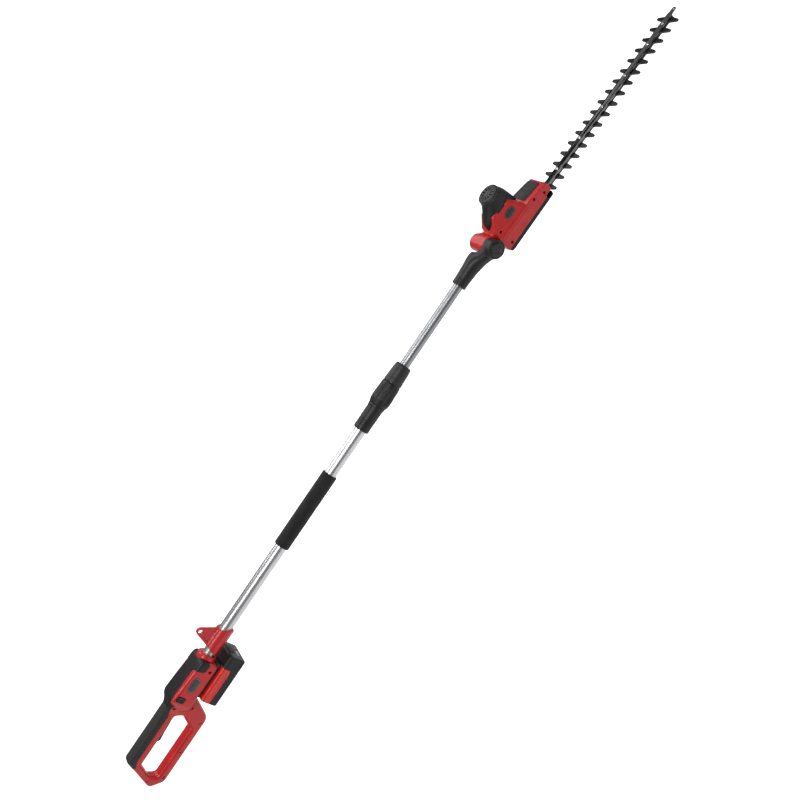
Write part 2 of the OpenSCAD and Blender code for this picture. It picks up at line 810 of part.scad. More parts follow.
module motor() {
  color([0.5, 0.5, 0.52]) at_head() translate([motor_x, 0, 0]) difference() {
    union() {
      rod_z(-1.8, 54, 18);
      rod_z(-3.6, -1.7, 7);
      rod_z(54, 57, 7);
    }
    rod_z(-10, 60, motor_shaft_r + 0.06);
    for (a = [0:90:270]) rotate([0, 0, a]) box([17, -3, 40], [20, 3, 50]);
  }
}

bearing_r = 11;

module gearbox_plate() {
  color(steel) at_head() difference() {
    union() {
      translate([0, 0, -5]) linear_extrude(3)
        polygon(rounded(symmetric([[54, -22, 5], [124, -20, 5]])));
      rod_z(-10.9, -3, 14.5, gear_x, 0);
    }
    rod_z(-20, 10, 7.3, motor_x, 0);
    // bearing's seat
    rod_z(-20, -4.4, bearing_r + fit, gear_x, 0);
    rod_z(-20, 10, 7.5, gear_x, 0);
  }
}
// Bearing with a ring groove in each face
module upper_bearing() {
  color([0.8, 0.8, 0.82]) at_head() difference() {
    rod_z(-10.6, -4.45, bearing_r, gear_x, 0);
    rod_z(-20, 10, shaft_r + fit, gear_x, 0);
    translate([gear_x, 0, 0]) for (z = [-10.7, -4.95]) difference() {
      rod_z(z, z + 0.6, 9.6);
      rod_z(z - 1, z + 2, 7.6);
    }
  }
}
module lower_bush() {
  color([0.75, 0.55, 0.3]) at_head() difference() {
    rod_z(-43.3, -39.8, bush_r, gear_x, 0);
    rod_z(-50, -30, shaft_r + fit, gear_x, 0);
  }
}

// ---------- Gears ----------

pressure_angle = 20;
addendum = 0.75;   // in modules, shortened
dedendum = 1.15;   // in modules
backlash = 0.16;

// Point of the involute of a base circle, unrolled by an angle
function involute(base_r, angle) =
  base_r * [cos(angle) + angle * PI / 180 * sin(angle),
            sin(angle) - angle * PI / 180 * cos(angle)];
// Angle unrolled where the involute reaches a radius
function unrolled(base_r, radius) = sqrt(radius * radius / (base_r * base_r) - 1) * 180 / PI;
function polar(radius, angle) = radius * [cos(angle), sin(angle)];

// Involute gear with a tooth centred on +X
module gear_2d(teeth) {
  pitch_r = gear_module * teeth / 2;
  base_r = pitch_r * cos(pressure_angle);
  tip_r = pitch_r + addendum * gear_module;
  root_r = pitch_r - dedendum * gear_module;
  pitch_roll = unrolled(base_r, pitch_r);
  tip_roll = unrolled(base_r, tip_r);
  // half tooth angles at the pitch circle and at the root
  pitch_half = 90 / teeth - (backlash / 2) / pitch_r * 180 / PI;
  root_half = pitch_half + pitch_roll - atan(pitch_roll * PI / 180);
  // [radius, angle from the tooth's middle] from root to tip
  flank = [for (i = [0:5])
    let (point = involute(base_r, tip_roll * i / 5))
    [norm(point), root_half - atan2(point[1], point[0])]];
  polygon([for (k = [0:teeth - 1])
    let (middle = 360 / teeth * k)
    each concat([polar(root_r, middle - root_half)],
                [for (f = flank) polar(f[0], middle - f[1])],
                [for (i = [5:-1:0]) polar(flank[i][0], middle + flank[i][1])],
                [polar(root_r, middle + root_half)])]);
}

// Motor's shaft and pinion, turned so that its teeth mesh with the drive gear's
module motor_pinion() {
  color(dark_steel) at_head() translate([motor_x, 0, 0]) {
    rod_z(-21, 65, motor_shaft_r);
    translate([0, 0, -20.4]) linear_extrude(7.2)
      rotate([0, 0, gear_teeth % 2 == 0 ? 0 : 180 / pinion_teeth]) gear_2d(pinion_teeth);
  }
}
module cooling_fan() {
  fan_z = 58.4;
  color([0.85, 0.85, 0.85]) at_head() translate([motor_x, 0, 0]) difference() {
    union() {
      rod_z(fan_z, 64.5, 6);
      rod_z(fan_z, fan_z + 1, 15.5);
      for (a = [0:40:320]) rotate([0, 0, a]) rotate([0, 0, 20])
        box([4, -0.5, fan_z], [15, 0.5, 63.8]);
    }
    rod_z(50, 70, motor_shaft_r + fit);
  }
}

// Gear, shaft and the two eccentrics that drive the blades
module drive_gear() {
  eccentric_r = 10;
  gear_z = -19.8;
  color(steel) at_head() translate([gear_x, 0, 0]) {
    difference() {
      translate([0, 0, gear_z]) linear_extrude(6)
        rotate([0, 0, 180 / gear_teeth]) gear_2d(gear_teeth);
      for (a = [0:60:300]) rotate([0, 0, a]) rod_z(-30, -10, 3.2, 13.5, 0);
    }
    rod_z(-43.2, -39.1, shaft_r);
    // slimmer between the eccentrics, so that the yokes pass it at the ends of their stroke
    rod_z(-39.2, -34.2, 3.6);
    rod_z(-34.3, -4.2, shaft_r);
    rod_z(-36.7, -34.3, eccentric_r, 0, throw);
    rod_z(-39.1, -36.9, eccentric_r, 0, -throw);
    rod_z(-34.3, gear_z, 9);
  }
}

// ---------- Blades and guide bar ----------

bar_x = [150, 652];  // ends of the guide bar
rows = 17;           // tooth rows
last_row = 620;
first_row = last_row - (rows - 1) * pitch;
root_half = 6.75;    // half width of a tooth at the spine
tip_half = 3.3;      // half width of a tooth near its tip
slot_len = 2 * (throw + 3.1);
slot_half = 2.75;    // half width of a bolt slot
bar_bolt_r = 2.5;
bar_bottom = -34.1;
// Bolts stand midway between rows, three rows apart; the last gap is one row shorter
bolt_x = [for (i = [0:5]) first_row + pitch * 0.5 + pitch * (1 + 3 * i - (i > 4 ? 1 : 0))];

// Outline of a left-hand tooth about its row, [x, y], from front to rear
tooth_shape = [[root_half, spine_half], [tip_half, tooth_half - 1.2],
               [tip_half - 1.4, tooth_half], [1.4 - tip_half, tooth_half],
               [-tip_half, tooth_half - 1.2], [-root_half, spine_half]];
function tooth(row, s) = [for (p = tooth_shape) [first_row + row * pitch, 0] + s * p];

// Toothed outline shared by both blades
function blade_outline() =
  let (tip_x = last_row + 12, taper_x = first_row - root_half - 5)
  concat(
    [[132, -14], [160, -14], [taper_x, -spine_half]],
    [for (k = [0:rows - 1]) each tooth(k, right)],
    [[tip_x - 4, -spine_half], [tip_x, -5], [tip_x, 5], [tip_x - 4, spine_half]],
    [for (k = [rows - 1:-1:0]) each tooth(k, left)],
    [[taper_x, spine_half], [160, 14], [132, 14]]);

module blade(bottom) {
  translate([0, 0, bottom]) linear_extrude(2.1) difference() {
    union() {
      polygon(blade_outline());
      // yoke round the eccentric, and its neck
      translate([gear_x - 16.5, -24]) square([33, 48]);
      translate([gear_x + 10, -14]) square([30, 28]);
    }
    // slot across the blade: the eccentric runs in it with clearance along the blade
    translate([gear_x - 11.85, -19]) square([23.7, 38]);
    // bolt slots along the blade
    for (x = bolt_x) {
      translate([x - slot_len / 2, -slot_half]) square([slot_len, 2 * slot_half]);
      for (s = [-1, 1]) translate([x + s * slot_len / 2, 0]) circle(r = slot_half, $fn = 24);
    }
  }
}
module upper_blade() { color([0.13, 0.13, 0.14]) at_head() blade(-36.6); }
module lower_blade() { color([0.11, 0.11, 0.12]) at_head() blade(-38.95); }

// Bar over the blades, with a holed round eye at the front
module guide_bar() {
  start = bar_x[0];
  end = bar_x[1];
  eye_half = 5.6;
  eye_x = end - 7;
  color([0.45, 0.45, 0.47]) at_head() translate([0, 0, bar_bottom]) linear_extrude(2.9)
    difference() {
      union() {
        polygon(rounded(symmetric([
          [start, -12, 2], [start + 20, -12, 5], [start + 34, -8.4, 6],
          [end - 24, -8.4, 4], [end - 15, -eye_half, 3], [eye_x, -eye_half, 0]])));
        translate([eye_x, 0]) circle(r = eye_half);
      }
      translate([eye_x, 0]) circle(r = 2.6);
      for (x = bolt_x) translate([x, 0]) circle(r = bar_bolt_r + fit);
    }
}
// Bolts through bar and blades, heads above and hexagonal nuts below
module bar_bolts() {
  color(bright_steel) at_head() for (x = bolt_x) {
    rod_z(-31.15, -29.2, 4.4, x, 0);
    rod_z(-42.2, -31.1, bar_bolt_r, x, 0);
    difference() {
      translate([x, 0, -42.6]) cylinder(h = 3.3, r = 4.6, $fn = 6);
      rod_z(-50, -30, bar_bolt_r, x, 0);
    }
  }
}

// ---------- Assembly ----------

// Moves a piece drawn about the pole's axis into the strap eye's frame
module at() { translate([0, 0, -eye_h]) children(); }

at() housing_right();
at() housing_left();
at() soft_grip();
at() top_cover();
at() front_collar();
at() housing_screws();
at() rear_label_plates();
at() trigger_switch();
at() trigger_spring();
at() trigger_pin();
at() control_board();
at() battery_dock();
at() power_cable();
at() lower_tube();
at() strap_lug();
at() lug_screw();
at() foam_grip();
at() clamp_body();
at() clamp_collet();
at() trigger();
at() lock_off_button();
at() battery_case();
at() battery_cover();
at() battery_cells();
at() latch_spring();
at() gauge_lens();
at() battery_latch();
at() gauge_button();
at() clamp_nut();
at() clamp_collar();
at() upper_tube();
at() guide_bush();
at() head_coupling();
at() detent_ring();
at() cable_lead();
at() head_shell_right();
at() head_shell_left();
at() nose_cover();
at() base_plate();
at() head_screws();
at() pivot_bolt();
at() pivot_cap();
at() release_spring();
at() head_label_plates();
at() motor_cover();
at() motor_cap();
at() motor();
at() gearbox_plate();
at() upper_bearing();
at() lower_bush();
at() guide_bar();
at() bar_bolts();
at() release_button();
at() motor_pinion();
at() cooling_fan();
at() drive_gear();
at() upper_blade();
at() lower_blade();
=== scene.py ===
"""Cordless hedge trimmer on a telescopic pole.

The pole runs along +X from the rear unit to the cutting head, with +Z up and the right side
at -Y. Shapes are written in millimetres about the pole's axis (z = 0 on the axis), or in the
cutting head's own frame, whose origin is the tilt pivot and whose nose droops a little.
"""
import bpy
import bmesh
import math
from functools import partial, reduce
import numpy as np
from mathutils import Matrix, Vector
from mathutils.geometry import delaunay_2d_cdt


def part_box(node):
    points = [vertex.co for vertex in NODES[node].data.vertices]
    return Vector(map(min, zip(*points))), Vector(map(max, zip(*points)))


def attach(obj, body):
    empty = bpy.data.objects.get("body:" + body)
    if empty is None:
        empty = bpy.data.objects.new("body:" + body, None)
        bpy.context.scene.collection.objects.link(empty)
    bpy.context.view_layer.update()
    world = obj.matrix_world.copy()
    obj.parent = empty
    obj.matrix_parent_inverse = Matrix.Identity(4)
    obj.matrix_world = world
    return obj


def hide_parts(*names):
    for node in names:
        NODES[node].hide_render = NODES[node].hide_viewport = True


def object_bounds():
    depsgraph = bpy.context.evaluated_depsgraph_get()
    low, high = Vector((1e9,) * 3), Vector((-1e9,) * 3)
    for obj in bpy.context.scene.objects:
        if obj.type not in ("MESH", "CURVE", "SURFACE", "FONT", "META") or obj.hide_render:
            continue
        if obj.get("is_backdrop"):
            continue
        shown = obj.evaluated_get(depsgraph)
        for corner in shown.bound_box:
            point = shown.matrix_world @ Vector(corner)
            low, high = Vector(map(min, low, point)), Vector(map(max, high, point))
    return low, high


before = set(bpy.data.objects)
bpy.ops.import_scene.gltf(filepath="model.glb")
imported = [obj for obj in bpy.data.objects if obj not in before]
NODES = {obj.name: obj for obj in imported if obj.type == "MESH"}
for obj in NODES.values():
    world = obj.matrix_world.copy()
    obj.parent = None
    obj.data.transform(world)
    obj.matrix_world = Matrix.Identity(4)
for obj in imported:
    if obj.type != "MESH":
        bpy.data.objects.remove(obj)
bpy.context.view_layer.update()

# ------------------------------------------------------------------ frame
tube_lo, tube_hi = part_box("lower_tube")
AXIS_SHIFT = -(tube_lo.z + tube_hi.z) / 2 * 1000   # origin's height over the pole's axis
PIVOT_X = 1019.0                                   # tilt pivot, along the pole
DROOP = math.radians(2.0)                          # nose-down angle of the head


def to_world(points, head):
    """Millimetres in the pole's or the head's frame to metres in the scene."""
    out = np.array(points, float)
    if head:
        x, z = out[:, 0].copy(), out[:, 2].copy()
        out[:, 0] = PIVOT_X + x * math.cos(DROOP) + z * math.sin(DROOP)
        out[:, 2] = -x * math.sin(DROOP) + z * math.cos(DROOP)
    out[:, 2] -= AXIS_SHIFT
    return out * 0.001


# ------------------------------------------------------------------ outlines
def fillet(before, at, after, radius, steps):
    """Arc that replaces the corner at one point of an outline."""
    before, at, after = map(np.array, (before, at, after))
    back = (before - at) / np.linalg.norm(before - at)
    ahead = (after - at) / np.linalg.norm(after - at)
    angle = math.acos(max(-1, min(1, float(back @ ahead))))
    reach = radius / math.tan(angle / 2)
    middle = (back + ahead) / np.linalg.norm(back + ahead)
    centre = at + middle * (radius / math.sin(angle / 2))
    start = at + back * reach - centre
    end = at + ahead * reach - centre
    first = math.atan2(start[1], start[0])
    last = math.atan2(end[1], end[0])
    sweep = (last - first + math.pi * 3) % (2 * math.pi) - math.pi
    angles = [first + sweep * i / steps for i in range(steps + 1)]
    return [(centre[0] + radius * math.cos(a), centre[1] + radius * math.sin(a)) for a in angles]


def rounded(points, steps=6):
    """Closed outline from (u, v, corner radius) points; radius 0 leaves a corner sharp."""
    out = []
    for i, at in enumerate(points):
        before, after = points[i - 1], points[(i + 1) % len(points)]
        if at[2] > 0:
            out += fillet(before[:2], at[:2], after[:2], at[2], steps)
        else:
            out.append(at[:2])
    return out


def circle(cx, cy, radius, count):
    angles = [2 * math.pi * i / count for i in range(count)]
    return [(cx + radius * math.cos(a), cy + radius * math.sin(a)) for a in angles]


def hull2d(circles):
    """Convex outline round (u, v, radius) circles, each sampled every 12 degrees."""
    points = []
    for x, y, radius in circles:
        for degrees in range(0, 360, 12):
            a = math.radians(degrees)
            points.append((round(x + radius * math.cos(a), 4), round(y + radius * math.sin(a), 4)))
    points = sorted(set(points))

    def turns_right(a, b, c):
        return (b[0] - a[0]) * (c[1] - a[1]) - (b[1] - a[1]) * (c[0] - a[0]) <= 0

    def half(ordered):
        chain = []
        for point in ordered:
            while len(chain) > 1 and turns_right(chain[-2], chain[-1], point):
                chain.pop()
            chain.append(point)
        return chain[:-1]
    return half(points) + half(points[::-1])


def pairs(rows):
    """Each row twice, with its second value negative and positive."""
    return [(a, side * b, c) for a, b, c in rows for side in (-1, 1)]


# ------------------------------------------------------------------ distance fields
# A field is negative inside its shape. xyz holds three arrays that broadcast together.
def poly(u, v, outline):
    """Signed distance to a closed outline in the plane of u and v."""
    points = np.asarray(outline, float)
    nearest = (u - points[0, 0]) ** 2 + (v - points[0, 1]) ** 2
    sign = np.ones(nearest.shape)
    for i in range(len(points)):
        end, start = points[i - 1], points[i]
        ex, ey = end - start
        wx, wy = u - start[0], v - start[1]
        t = np.clip((wx * ex + wy * ey) / (ex * ex + ey * ey), 0, 1)
        nearest = np.minimum(nearest, (wx - ex * t) ** 2 + (wy - ey * t) ** 2)
        above, below, beside = v >= start[1], v < end[1], ex * wy > ey * wx
        crossed = (above & below & beside) | (~above & ~below & ~beside)
        sign = np.where(crossed, -sign, sign)
    return sign * np.sqrt(nearest)


def soft_min(a, b, soft):
    """Union of two shapes with a fillet."""
    h = np.clip(0.5 + 0.5 * (b - a) / soft, 0, 1)
    return b * (1 - h) + a * h - soft * h * (1 - h)


def soft_max(a, b, soft):
    """Intersection of two shapes with a softened edge."""
    return -soft_min(-a, -b, soft)


def carve(shape, tool, soft=0):
    """Shape with the tool taken out of it; soft rounds the cut's edge."""
    return soft_max(shape, -tool, soft) if soft else np.maximum(shape, -tool)


def corner(*fields, r):
    """Intersection whose edges are rounded to radius r."""
    moved = [field + r for field in fields]
    outside = np.sqrt(sum(np.maximum(field, 0) ** 2 for field in moved))
    return outside + np.minimum(reduce(np.maximum, moved), 0) - r


def slab(value, centre, half):
    return np.abs(value - centre) - half


def radius_of(u, v):
    return np.sqrt(u * u + v * v)


def box(xyz, lo, hi, r):
    return corner(*(slab(v, (a + b) / 2, (b - a) / 2) for v, a, b in zip(xyz, lo, hi)), r=r)


def cylinder(axis, xyz, span, radius, centre=(0.0, 0.0), edge=0.5):
    """Cylinder along an axis; the centre is given in the other two coordinates."""
    u, v = [xyz[i] - c for i, c in zip([i for i in range(3) if i != axis], centre)]
    start, end = span
    ends = slab(xyz[axis], (start + end) / 2, (end - start) / 2)
    return corner(radius_of(u, v) - radius, ends, r=edge)


cyl_x, cyl_y, cyl_z = (partial(cylinder, axis) for axis in range(3))


def fade(value, start, length):
    """0 at the start, 1 a length further on; a negative length runs downwards."""
    return np.clip((value - start) / length, 0, 1)


def groove(value, centre, width, depth):
    """Soft-edged line, to be added to a field."""
    return depth * np.exp(-((value - centre) / width) ** 2)


def ridges(value, pitch, gain=1.5):
    """Wave between -1 and 1 with flattened crests."""
    return np.clip(np.sin(2 * np.pi * value / pitch) * gain, -1, 1)


def planes_of(points):
    """Face planes (normal x, y, z, distance) of the convex hull of some points."""
    bm = bmesh.new()
    for point in points:
        bm.verts.new(point)
    bmesh.ops.convex_hull(bm, input=bm.verts)
    bmesh.ops.recalc_face_normals(bm, faces=bm.faces)
    centre = Vector(np.mean(points, 0))
    planes = []
    for face in bm.faces:
        normal = face.normal.copy()
        middle = face.calc_center_median()
        if normal.dot(middle - centre) < 0:
            normal = -normal
        if not any((normal - Vector(plane[:3])).length < 0.02 for plane in planes):
            planes.append((*normal, normal.dot(middle)))
    bm.free()
    return planes


def hull_field(xyz, planes, edge=5.0, power=6):
    """Convex block inside the planes, with round edges."""
    x, y, z = xyz
    heights = [a * x + b * y + c * z - d for a, b, c, d in planes]
    highest = reduce(np.maximum, heights)
    total = sum(np.maximum(height, 0) ** power for height in heights)
    return np.where(highest > 0, total ** (1.0 / power), highest) - edge


# ------------------------------------------------------------------ meshes
def link_object(name, data):
    ob = bpy.data.objects.new(name, data)
    bpy.context.scene.collection.objects.link(ob)
    return ob


def smooth(mesh):
    mesh.polygons.foreach_set("use_smooth", np.ones(len(mesh.polygons), bool))


def new_object(name, verts, faces, head):
    mesh = bpy.data.meshes.new(name)
    mesh.from_pydata(to_world(verts, head).tolist(), [], faces)
    mesh.update()
    smooth(mesh)
    return link_object(name, mesh)


def face_outwards(mesh, weld=False):
    bm = bmesh.new()
    bm.from_mesh(mesh)
    if weld:
        bmesh.ops.remove_doubles(bm, verts=bm.verts, dist=1e-7)
    bmesh.ops.recalc_face_normals(bm, faces=bm.faces)
    bm.to_mesh(mesh)
    bm.free()


def sharp_by_angle(mesh, angle, first_cap=None):
    """Creases where faces meet at more than the angle, and around the faces from first_cap on."""
    bm = bmesh.new()
    bm.from_mesh(mesh)
    bm.faces.index_update()
    limit = math.radians(angle)
    flags = []
    for edge in bm.edges:
        sharp = False
        if len(edge.link_faces) == 2:
            sharp = edge.calc_face_angle(0) > limit
            if first_cap is not None:
                one, other = (face.index >= first_cap for face in edge.link_faces)
                sharp = sharp or one != other
        flags.append(sharp)
    bm.free()
    stored = mesh.attributes.get("sharp_edge")
    stored = stored or mesh.attributes.new("sharp_edge", "BOOLEAN", "EDGE")
    stored.data.foreach_set("value", np.array(flags, bool))
    mesh.update()


def surface_quads(values):
    """Points (in grid steps) and quads of the surface where the sampled field is 0."""
    inside = values < 0
    nx, ny, nz = values.shape
    corners = [(a, b, c) for a in (0, 1) for b in (0, 1) for c in (0, 1)]
    count = np.zeros((nx - 1, ny - 1, nz - 1), np.uint8)
    for a, b, c in corners:
        count += inside[a:nx - 1 + a, b:ny - 1 + b, c:nz - 1 + c]
    mixed = (count > 0) & (count < 8)
    cells = np.argwhere(mixed)
    index = np.full(mixed.shape, -1, np.int64)
    index[mixed] = np.arange(len(cells))
    # each cell's point is the mean of the crossings on its twelve edges
    total = np.zeros((len(cells), 3))
    crossings = np.zeros(len(cells))
    for start in corners:
        for k in range(3):
            if start[k]:
                continue
            end = list(start)
            end[k] = 1
            va = values[tuple((cells + start).T)]
            vb = values[tuple((cells + end).T)]
            crossed = (va < 0) != (vb < 0)
            t = np.where(crossed, va / np.where(crossed, va - vb, 1), 0)
            point = cells + np.array(start, float)
            point[:, k] += t
            total[crossed] += point[crossed]
            crossings[crossed] += 1
    quads = []
    for k in range(3):
        u, w = (k + 1) % 3, (k + 2) % 3
        near, far = [slice(1, -1)] * 3, [slice(1, -1)] * 3
        near[k], far[k] = slice(0, -1), slice(1, None)
        a, b = inside[tuple(near)], inside[tuple(far)]
        for leaving in (True, False):
            edges = np.argwhere((a != b) & (a == leaving))
            edges[:, u] += 1
            edges[:, w] += 1
            ring = []
            for du, dw in ((-1, -1), (0, -1), (0, 0), (-1, 0)):
                cell = edges.copy()
                cell[:, u] += du
                cell[:, w] += dw
                ring.append(index[tuple(cell.T)])
            quads.append(np.stack(ring if leaving else ring[::-1], 1))
    quads = np.concatenate(quads)
    return total / crossings[:, None], quads[(quads >= 0).all(1)]


def drop_specks(points, quads, least=60):
    """Leaves only connected pieces of more than the least number of points."""
    parent = np.arange(len(points))
    edges = np.concatenate([quads[:, [i, (i + 1) % 4]] for i in range(4)])
    for _ in range(200):
        lowest = np.minimum(parent[edges[:, 0]], parent[edges[:, 1]])
        new = parent.copy()
        np.minimum.at(new, edges[:, 0], lowest)
        np.minimum.at(new, edges[:, 1], lowest)
        new = new[new]
        if (new == parent).all():
            break
        parent = new
    roots, counts = np.unique(parent, return_counts=True)
    keep = np.isin(parent, roots[counts > least])
    new_index = np.cumsum(keep) - 1
    return points[keep], new_index[quads[keep[quads[:, 0]]]]


def field_mesh(name, field, lo, hi, step, head=False):
    """Surface where the field is 0, as quads, with every point moved onto the exact surface."""
    axes = [np.arange(a - 1.5 * step, b + 2.5 * step, step) for a, b in zip(lo, hi)]
    values = np.array(field(np.ix_(*axes)), np.float32)
    for axis in range(3):
        # the outermost samples count as outside, which closes the surface
        layers = np.moveaxis(values, axis, 0)
        layers[[0, -1]] = np.maximum(layers[[0, -1]], 0.1)
    points, quads = surface_quads(values)
    points = points * step + np.array([axis[0] for axis in axes])
    eps = 0.05
    for _ in range(3):
        value = field(points.T)
        slope = np.stack([field((points + shift).T) - field((points - shift).T)
                          for shift in np.eye(3) * eps], 1) / (2 * eps)
        steepness = np.maximum((slope ** 2).sum(1), 0.25)
        points = points - slope * np.clip(value / steepness, -0.5 * step, 0.5 * step)[:, None]
    points, quads = drop_specks(points, quads)
    return new_object(name, points, quads.tolist(), head)


def lathe(name, profile, axis="x", at=(0, 0, 0), seg=96, head=False, angle=32, flute=None):
    """Closed profile of (along, radius) points turned about an axis.

    Points at radius 0 close the ends. flute(along, radius, turn) may change a radius.
    """
    profile = np.array(profile, float)
    following = np.roll(profile, -1, axis=0)
    if np.sum(profile[:, 0] * following[:, 1] - following[:, 0] * profile[:, 1]) > 0:
        profile = profile[::-1]
    verts, faces, rows = [], [], []
    for along, radius in profile:
        if radius < 1e-6:
            rows.append([len(verts)] * seg)
            verts.append((along, 0.0, 0.0))
            continue
        rows.append(range(len(verts), len(verts) + seg))
        for j in range(seg):
            turn = 2 * math.pi * j / seg
            r = flute(along, radius, turn) if flute else radius
            verts.append((along, r * math.cos(turn), r * math.sin(turn)))
    for row, after, start, end in zip(rows, rows[1:] + rows[:1], profile, following_of(profile)):
        if start[1] < 1e-6 and end[1] < 1e-6:
            continue
        for j in range(seg):
            j2 = (j + 1) % seg
            ring = [row[j], row[j2], after[j2], after[j]]
            ring = [v for n, v in enumerate(ring) if v not in ring[:n]]
            if len(ring) > 2:
                faces.append(ring)
    along, across, up = np.array(verts).T
    turned = {"x": (along, across, up), "y": (across, along, -up), "z": (-across, -up, along)}
    ob = new_object(name, np.stack(turned[axis], 1) + np.array(at, float), faces, head)
    face_outwards(ob.data, weld=True)
    sharp_by_angle(ob.data, angle)
    return ob


def following_of(points):
    """The points moved round by one, so that each lines up with the one after it."""
    return np.roll(points, -1, axis=0)


def ringed(outer, bore):
    """Closed lathe profile from an outer outline of (x, radius, corner radius) and a bore."""
    return rounded([(outer[0][0], bore, 0)] + list(outer) + [(outer[-1][0], bore, 0)], 5)


def wound_loop(outline, anticlockwise):
    """Outline without doubled points, running the wanted way round."""
    loop = np.array([p for j, p in enumerate(outline) if math.dist(p, outline[j - 1]) > 0.02])
    after = following_of(loop)
    area = (loop[:, 0] * after[:, 1] - after[:, 0] * loop[:, 1]).sum()
    return loop if (area > 0) == anticlockwise else loop[::-1]


def mitres(loop):
    """Inward step at each point that keeps both sides' distance."""
    edge = loop - np.roll(loop, 1, axis=0)
    edge /= np.linalg.norm(edge, axis=1, keepdims=True)
    normal = np.stack([-edge[:, 1], edge[:, 0]], 1)
    both = normal + following_of(normal)
    return both / np.maximum((both * normal).sum(1), 0.5)[:, None]


def inside_loops(point, loops):
    """True where a ray from the point crosses the loops an odd number of times."""
    crossings = 0
    for loop in loops:
        x0, y0 = loop[:, 0], loop[:, 1]
        x1, y1 = np.roll(x0, -1), np.roll(y0, -1)
        hit = (y0 > point[1]) != (y1 > point[1])
        with np.errstate(divide="ignore", invalid="ignore"):
            xs = x0 + (point[1] - y0) / (y1 - y0) * (x1 - x0)
        crossings += int((hit & (xs > point[0])).sum())
    return crossings % 2 == 1


def cap_faces(loops):
    """Triangulation of the flat region between loops, as indices into their joined points."""
    points, edges = [], []
    for loop in loops:
        first, count = len(points), len(loop)
        points += [Vector((float(x), float(y))) for x, y in loop]
        edges += [(first + j, first + (j + 1) % count) for j in range(count)]
    cap_points, _, cap, *_ = delaunay_2d_cdt(points, edges, [], 1, 1e-6)
    index_of = {}
    for i, point in enumerate(points):
        index_of.setdefault((round(point.x, 4), round(point.y, 4)), i)
    original = [index_of.get((round(v.x, 4), round(v.y, 4))) for v in cap_points]
    out = []
    for face in cap:
        centre = [sum(cap_points[i][k] for i in face) / len(face) for k in (0, 1)]
        indices = [original[i] for i in face]
        if None not in indices and inside_loops(centre, loops):
            out.append(indices)
    return out


def plate(name, outlines, z0, z1, bevel, head=False, place=None, steps=2, angle=40):
    """Flat plate with bevelled edges; the first outline is outside, the rest are holes.

    place maps (u, v, w) millimetre points into the piece's frame.
    """
    verts, faces, flats, low, high = [], [], [], [], []
    for i, outline in enumerate(outlines):
        loop = wound_loop(outline, anticlockwise=i == 0)
        inward = mitres(loop)
        turns = [0.5 * math.pi * k / steps for k in range(steps + 1)]
        rings = [(loop + inward * bevel * (1 - math.cos(t)), bevel * (1 - math.sin(t)))
                 for t in turns]
        levels = [(ring, z0 + depth) for ring, depth in rings[::-1]]
        levels += [(ring, z1 - depth) for ring, depth in rings]
        count = len(loop)
        rows = []
        for ring, z in levels:
            rows.append(len(verts))
            verts += [(x, y, z) for x, y in ring]
        for a, b in zip(rows, rows[1:]):
            for j in range(count):
                j2 = (j + 1) % count
                faces.append((a + j, a + j2, b + j2, b + j))
        low += range(rows[0], rows[0] + count)
        high += range(rows[-1], rows[-1] + count)
        flats.append(loop + inward * bevel)
    first_cap = len(faces)
    for cap in cap_faces(flats):
        faces.append(tuple(high[i] for i in cap))
        faces.append(tuple(low[i] for i in cap[::-1]))
    points = np.array(verts, dtype=float)
    ob = new_object(name, place(points) if place else points, faces, head)
    face_outwards(ob.data)
    smooth(ob.data)
    sharp_by_angle(ob.data, angle, first_cap)
    return ob


def join(name, obs):
    """Several meshes as one object, keeping their materials."""
    bm = bmesh.new()
    materials = []
    for ob in obs:
        start = len(bm.faces)
        bm.from_mesh(ob.data)
        bm.faces.ensure_lookup_table()
        material = ob.data.materials[0]
        if material not in materials:
            materials.append(material)
        for face in bm.faces[start:]:
            face.material_index = materials.index(material)
    mesh = bpy.data.meshes.new(name)
    bmesh.ops.recalc_face_normals(bm, faces=bm.faces)
    bm.to_mesh(mesh)
    bm.free()
    for material in materials:
        mesh.materials.append(material)
    for ob in obs:
        bpy.data.objects.remove(ob)
    smooth(mesh)
    sharp_by_angle(mesh, 38)
    return link_object(name, mesh)


# ------------------------------------------------------------------ shader building
MIDDLE = (0.3, 0.7)   # the span in which most noise values fall


